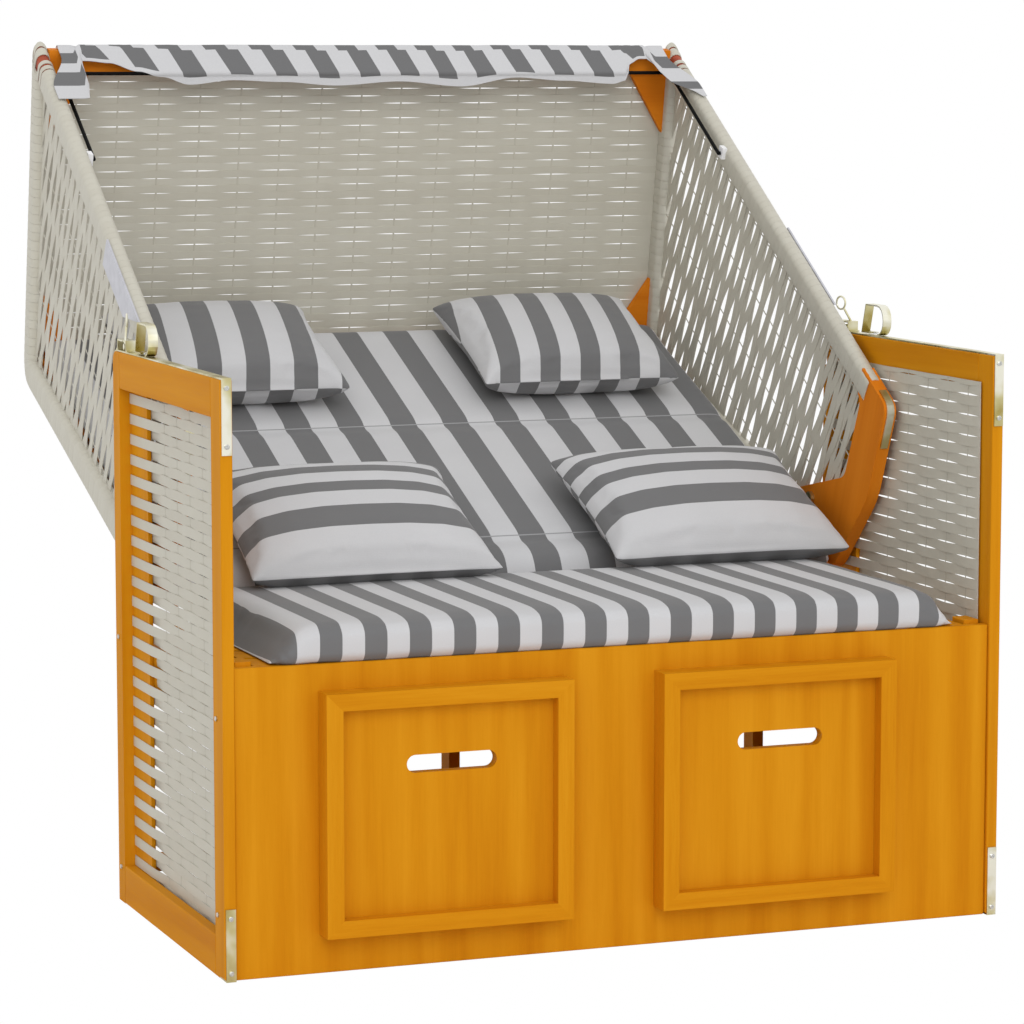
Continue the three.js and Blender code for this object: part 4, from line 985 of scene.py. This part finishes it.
# the head pillows' stripes lean a little; the large pillows' lie level, at these places
head_lean = 0.12
head_level = 0.55
large_spans = ((-0.017, 0.033), (0.075, 0.105), (0.139, 0.167), (0.193, 0.216))
for word, side in sides:
    pitch, begin, forward = (0.0800, -0.279, -0.017) if side < 0 else (0.0705, 0.292, 0.0)
    spans = [(forward + start, forward + end) for start, end in large_spans]
    head_cloth = striped(f"head_stripes_{word}", lambda x, y, z: swapped(
        bands(x - y * head_lean - (begin - head_level * head_lean), pitch), z),
        pad_lean, pad_origin)
    large_cloth = striped(f"large_stripes_{word}", lambda x, y, z: swapped(
        across_bands(y, spans), z), pad_lean, pad_origin)
    for kind, cloth in (("head", head_cloth), ("seat", large_cloth)):
        pillow = stuff(f"{kind}_pillow_cover_{word}", f"{kind}_pillow_{word}", voxel=0.005,
                       pressure=4.0, cap=0.007, grow=(1.06, 1.01, 1.0),
                       shift=(0.006 - 0.006 * side, 0, 0))
        pillow.data.materials.append(cloth)
        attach(pillow, "hood")
        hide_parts(f"{kind}_pillow_{word}")
        if kind == "seat":
            low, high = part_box(f"seat_pillow_{word}")
            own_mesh(pillow)


# Canopy. One striped cloth lies over the top beam and the bow's bar, hangs to a waved hem
# and ends in a flap along each front bar.
cloth_wall = 0.0012
cloth_gap = 0.0015
beam_top = 0.5533
beam_low = 0.0113
bow_height = 0.846
bow_inward = 0.015
bow_rod = 0.003
hang_spare = 0.060
top_half = 0.526
flap_starts, flap_ends = 0.492, 0.505
flap_length = 0.104
flap_lift = 0.005
flap_out = 0.030
flap_widens = 1.3
tip_narrows = 0.85
widening = (0.25, 0.8)
narrowing = (0.70, 1.0)


def roof_point(up, inward):
    """A place on the roof, in the hood's own Y and Z."""
    turned = Vector((up, inward))
    turned.rotate(Matrix.Rotation(roof_angle, 2))
    return turned + Vector((back_length, 0))


bar_middle = Vector((bow_height, front_edge(bow_height) - bow_inward))
beam_rear = roof_point(beam_top, beam_low + 0.0024)
beam_front = roof_point(beam_top, beam_low + 0.0208)
# the cloth's crest on the beam, between its edges
ridge = (beam_rear + beam_front) / 2 + Vector((0.0018, 0.0055))
plumb = Vector((0, -1))
plumb.rotate(Matrix.Rotation(-recline, 2))
beam_slope = math.atan2((beam_front - bar_middle).y, (beam_front - bar_middle).x)


def around_bar(turn):
    """A place on the cloth where it bends over the bow's bar."""
    reach = (bow_rod + cloth_gap) / math.cos(math.pi / 6)
    heading = beam_slope + turn
    return bar_middle + Vector((reach * math.cos(heading), reach * math.sin(heading)))


def eased(value, start, end):
    share = min(max((value - start) / (end - start), 0), 1)
    return share * share * (3 - 2 * share)


def line_length(line):
    return sum((b - a).length for a, b in zip(line, line[1:]))


def along_line(line, distance):
    """The point at a distance along a line of points."""
    for a, b in zip(line, line[1:]):
        run = (b - a).length
        if distance <= run or b is line[-1]:
            return a + (b - a) * (distance / run)
        distance -= run


# how far the hem hangs below the bow at places across the hood; above it where less than none
hem_marks = (
    (-0.526, -0.030), (-0.483, -0.030), (-0.447, -0.026), (-0.402, -0.009), (-0.362, 0.001),
    (-0.316, 0.0135), (-0.243, 0.0065), (-0.158, 0.0095), (-0.068, 0.0155), (0.044, 0.0090),
    (0.152, 0.0175), (0.251, 0.0030), (0.335, 0.0085), (0.425, 0.0140), (0.446, 0.0090),
    (0.458, -0.024), (0.478, -0.034), (0.526, -0.034),
)


def hem_drop(x):
    for (x0, drop0), (x1, drop1) in zip(hem_marks, hem_marks[1:]):
        if x <= x1 or x1 == hem_marks[-1][0]:
            return drop0 + (drop1 - drop0) * eased(x, x0, x1)


over_bar = [around_bar(math.pi * k / 6) for k in range(2, 7)]
hang = [beam_rear, ridge, beam_front, *over_bar, over_bar[-1] + plumb * hang_spare]
to_bar = line_length(hang[:-1])
flap = [beam_rear, ridge, beam_front]
for k in range(7):
    height = bow_height - flap_length * k / 6
    flap.append(Vector((height, front_edge(height) + flap_lift)))
flap_run = line_length(flap)


def canopy_point(across, down):
    """A place on the cloth, in the hood's own axes, from its shares across and down."""
    x = across * top_half
    share = eased(abs(x), flap_starts, flap_ends)
    hanging = along_line(hang, down * (to_bar + hem_drop(x)))
    place = hanging.lerp(along_line(flap, down * flap_run), share)
    # the flaps at the ends lie outward on the front bars and widen inward; the right one
    # ends in a point
    spread = eased(down, *widening) * share
    taper = 1 - (tip_narrows * eased(down, *narrowing) * share if x > 0 else 0)
    inward = (top_half - abs(x)) * (1 + flap_widens * spread) * taper
    reach = top_half + flap_out * spread - inward
    return Vector((math.copysign(reach, x), place.x, place.y))


bpy.ops.mesh.primitive_grid_add(x_subdivisions=240, y_subdivisions=40, size=1)
canopy = bpy.context.object
canopy.name = "canopy_cloth"
for corner in canopy.data.vertices:
    corner.co = canopy_point(corner.co.x * 2, 0.5 - corner.co.y)
thicken(canopy, cloth_wall)
canopy.data.transform(hood_place)
bpy.ops.object.shade_smooth_by_angle(angle=math.radians(60))
canopy_cloth, shader, paint = new_finish("canopy_stripes", Roughness=0.9)
u = paint.node("ShaderNodeSeparateXYZ", {}, {0: paint.node("ShaderNodeTexCoord", out="UV")})
v = Shade(paint.tree, u.socket.node.outputs[1])
# the stripes slant, drift a little with the folds, and stand aside in the doubled top edge
stripe_pitch, stripe_shift, stripe_share, stripe_offset = 0.073, 0.849, 0.49, 0.002
stripe_slant = 0.029
drift_rate, drift_start, drift_reach = 6.6, 2.25, 0.013
doubled_from, doubled_aside = 0.735, 0.015
across = (u - 0.5) * (2 * top_half)
wave = across * drift_rate + drift_start
drift = wave.math("SINE", wave) * drift_reach
doubled = v.math("GREATER_THAN", v, doubled_from)
slant = v * stripe_slant - stripe_slant + doubled * doubled_aside
stripes = bands(across + slant - drift - stripe_offset, stripe_pitch, stripe_shift, stripe_share)
# the flaps have stripes of their own, across them
outward = across.math("ABSOLUTE", across)
end = outward.math("GREATER_THAN", outward, 0.494)
right = across.math("GREATER_THAN", across, 0)
left_flap = across_bands(v, ((0.22, 0.46), (0.62, 0.80)))
right_flap = across_bands(v, ((0.10, 0.27), (0.52, 0.74)))
stripes = stripes * (1 - end) + end * (left_flap * (1 - right) + right_flap * right)
# a light hem runs along the bottom and up the inner edge of each flap
inner_edge = between(outward, 0.489, 0.499) * v.math("LESS_THAN", v, 0.80)
hem = v.math("LESS_THAN", v, 0.13)
fluff = mottled(paint, fluff_scale, 3.0)
cloth_colour(paint, shader, stripes * (1 - hem) * (1 - inner_edge), fluff)
roughen(paint, shader, 0.2, 0.0004, fluff)
canopy.data.materials.clear()
canopy.data.materials.append(canopy_cloth)
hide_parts("canopy")
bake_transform(canopy)
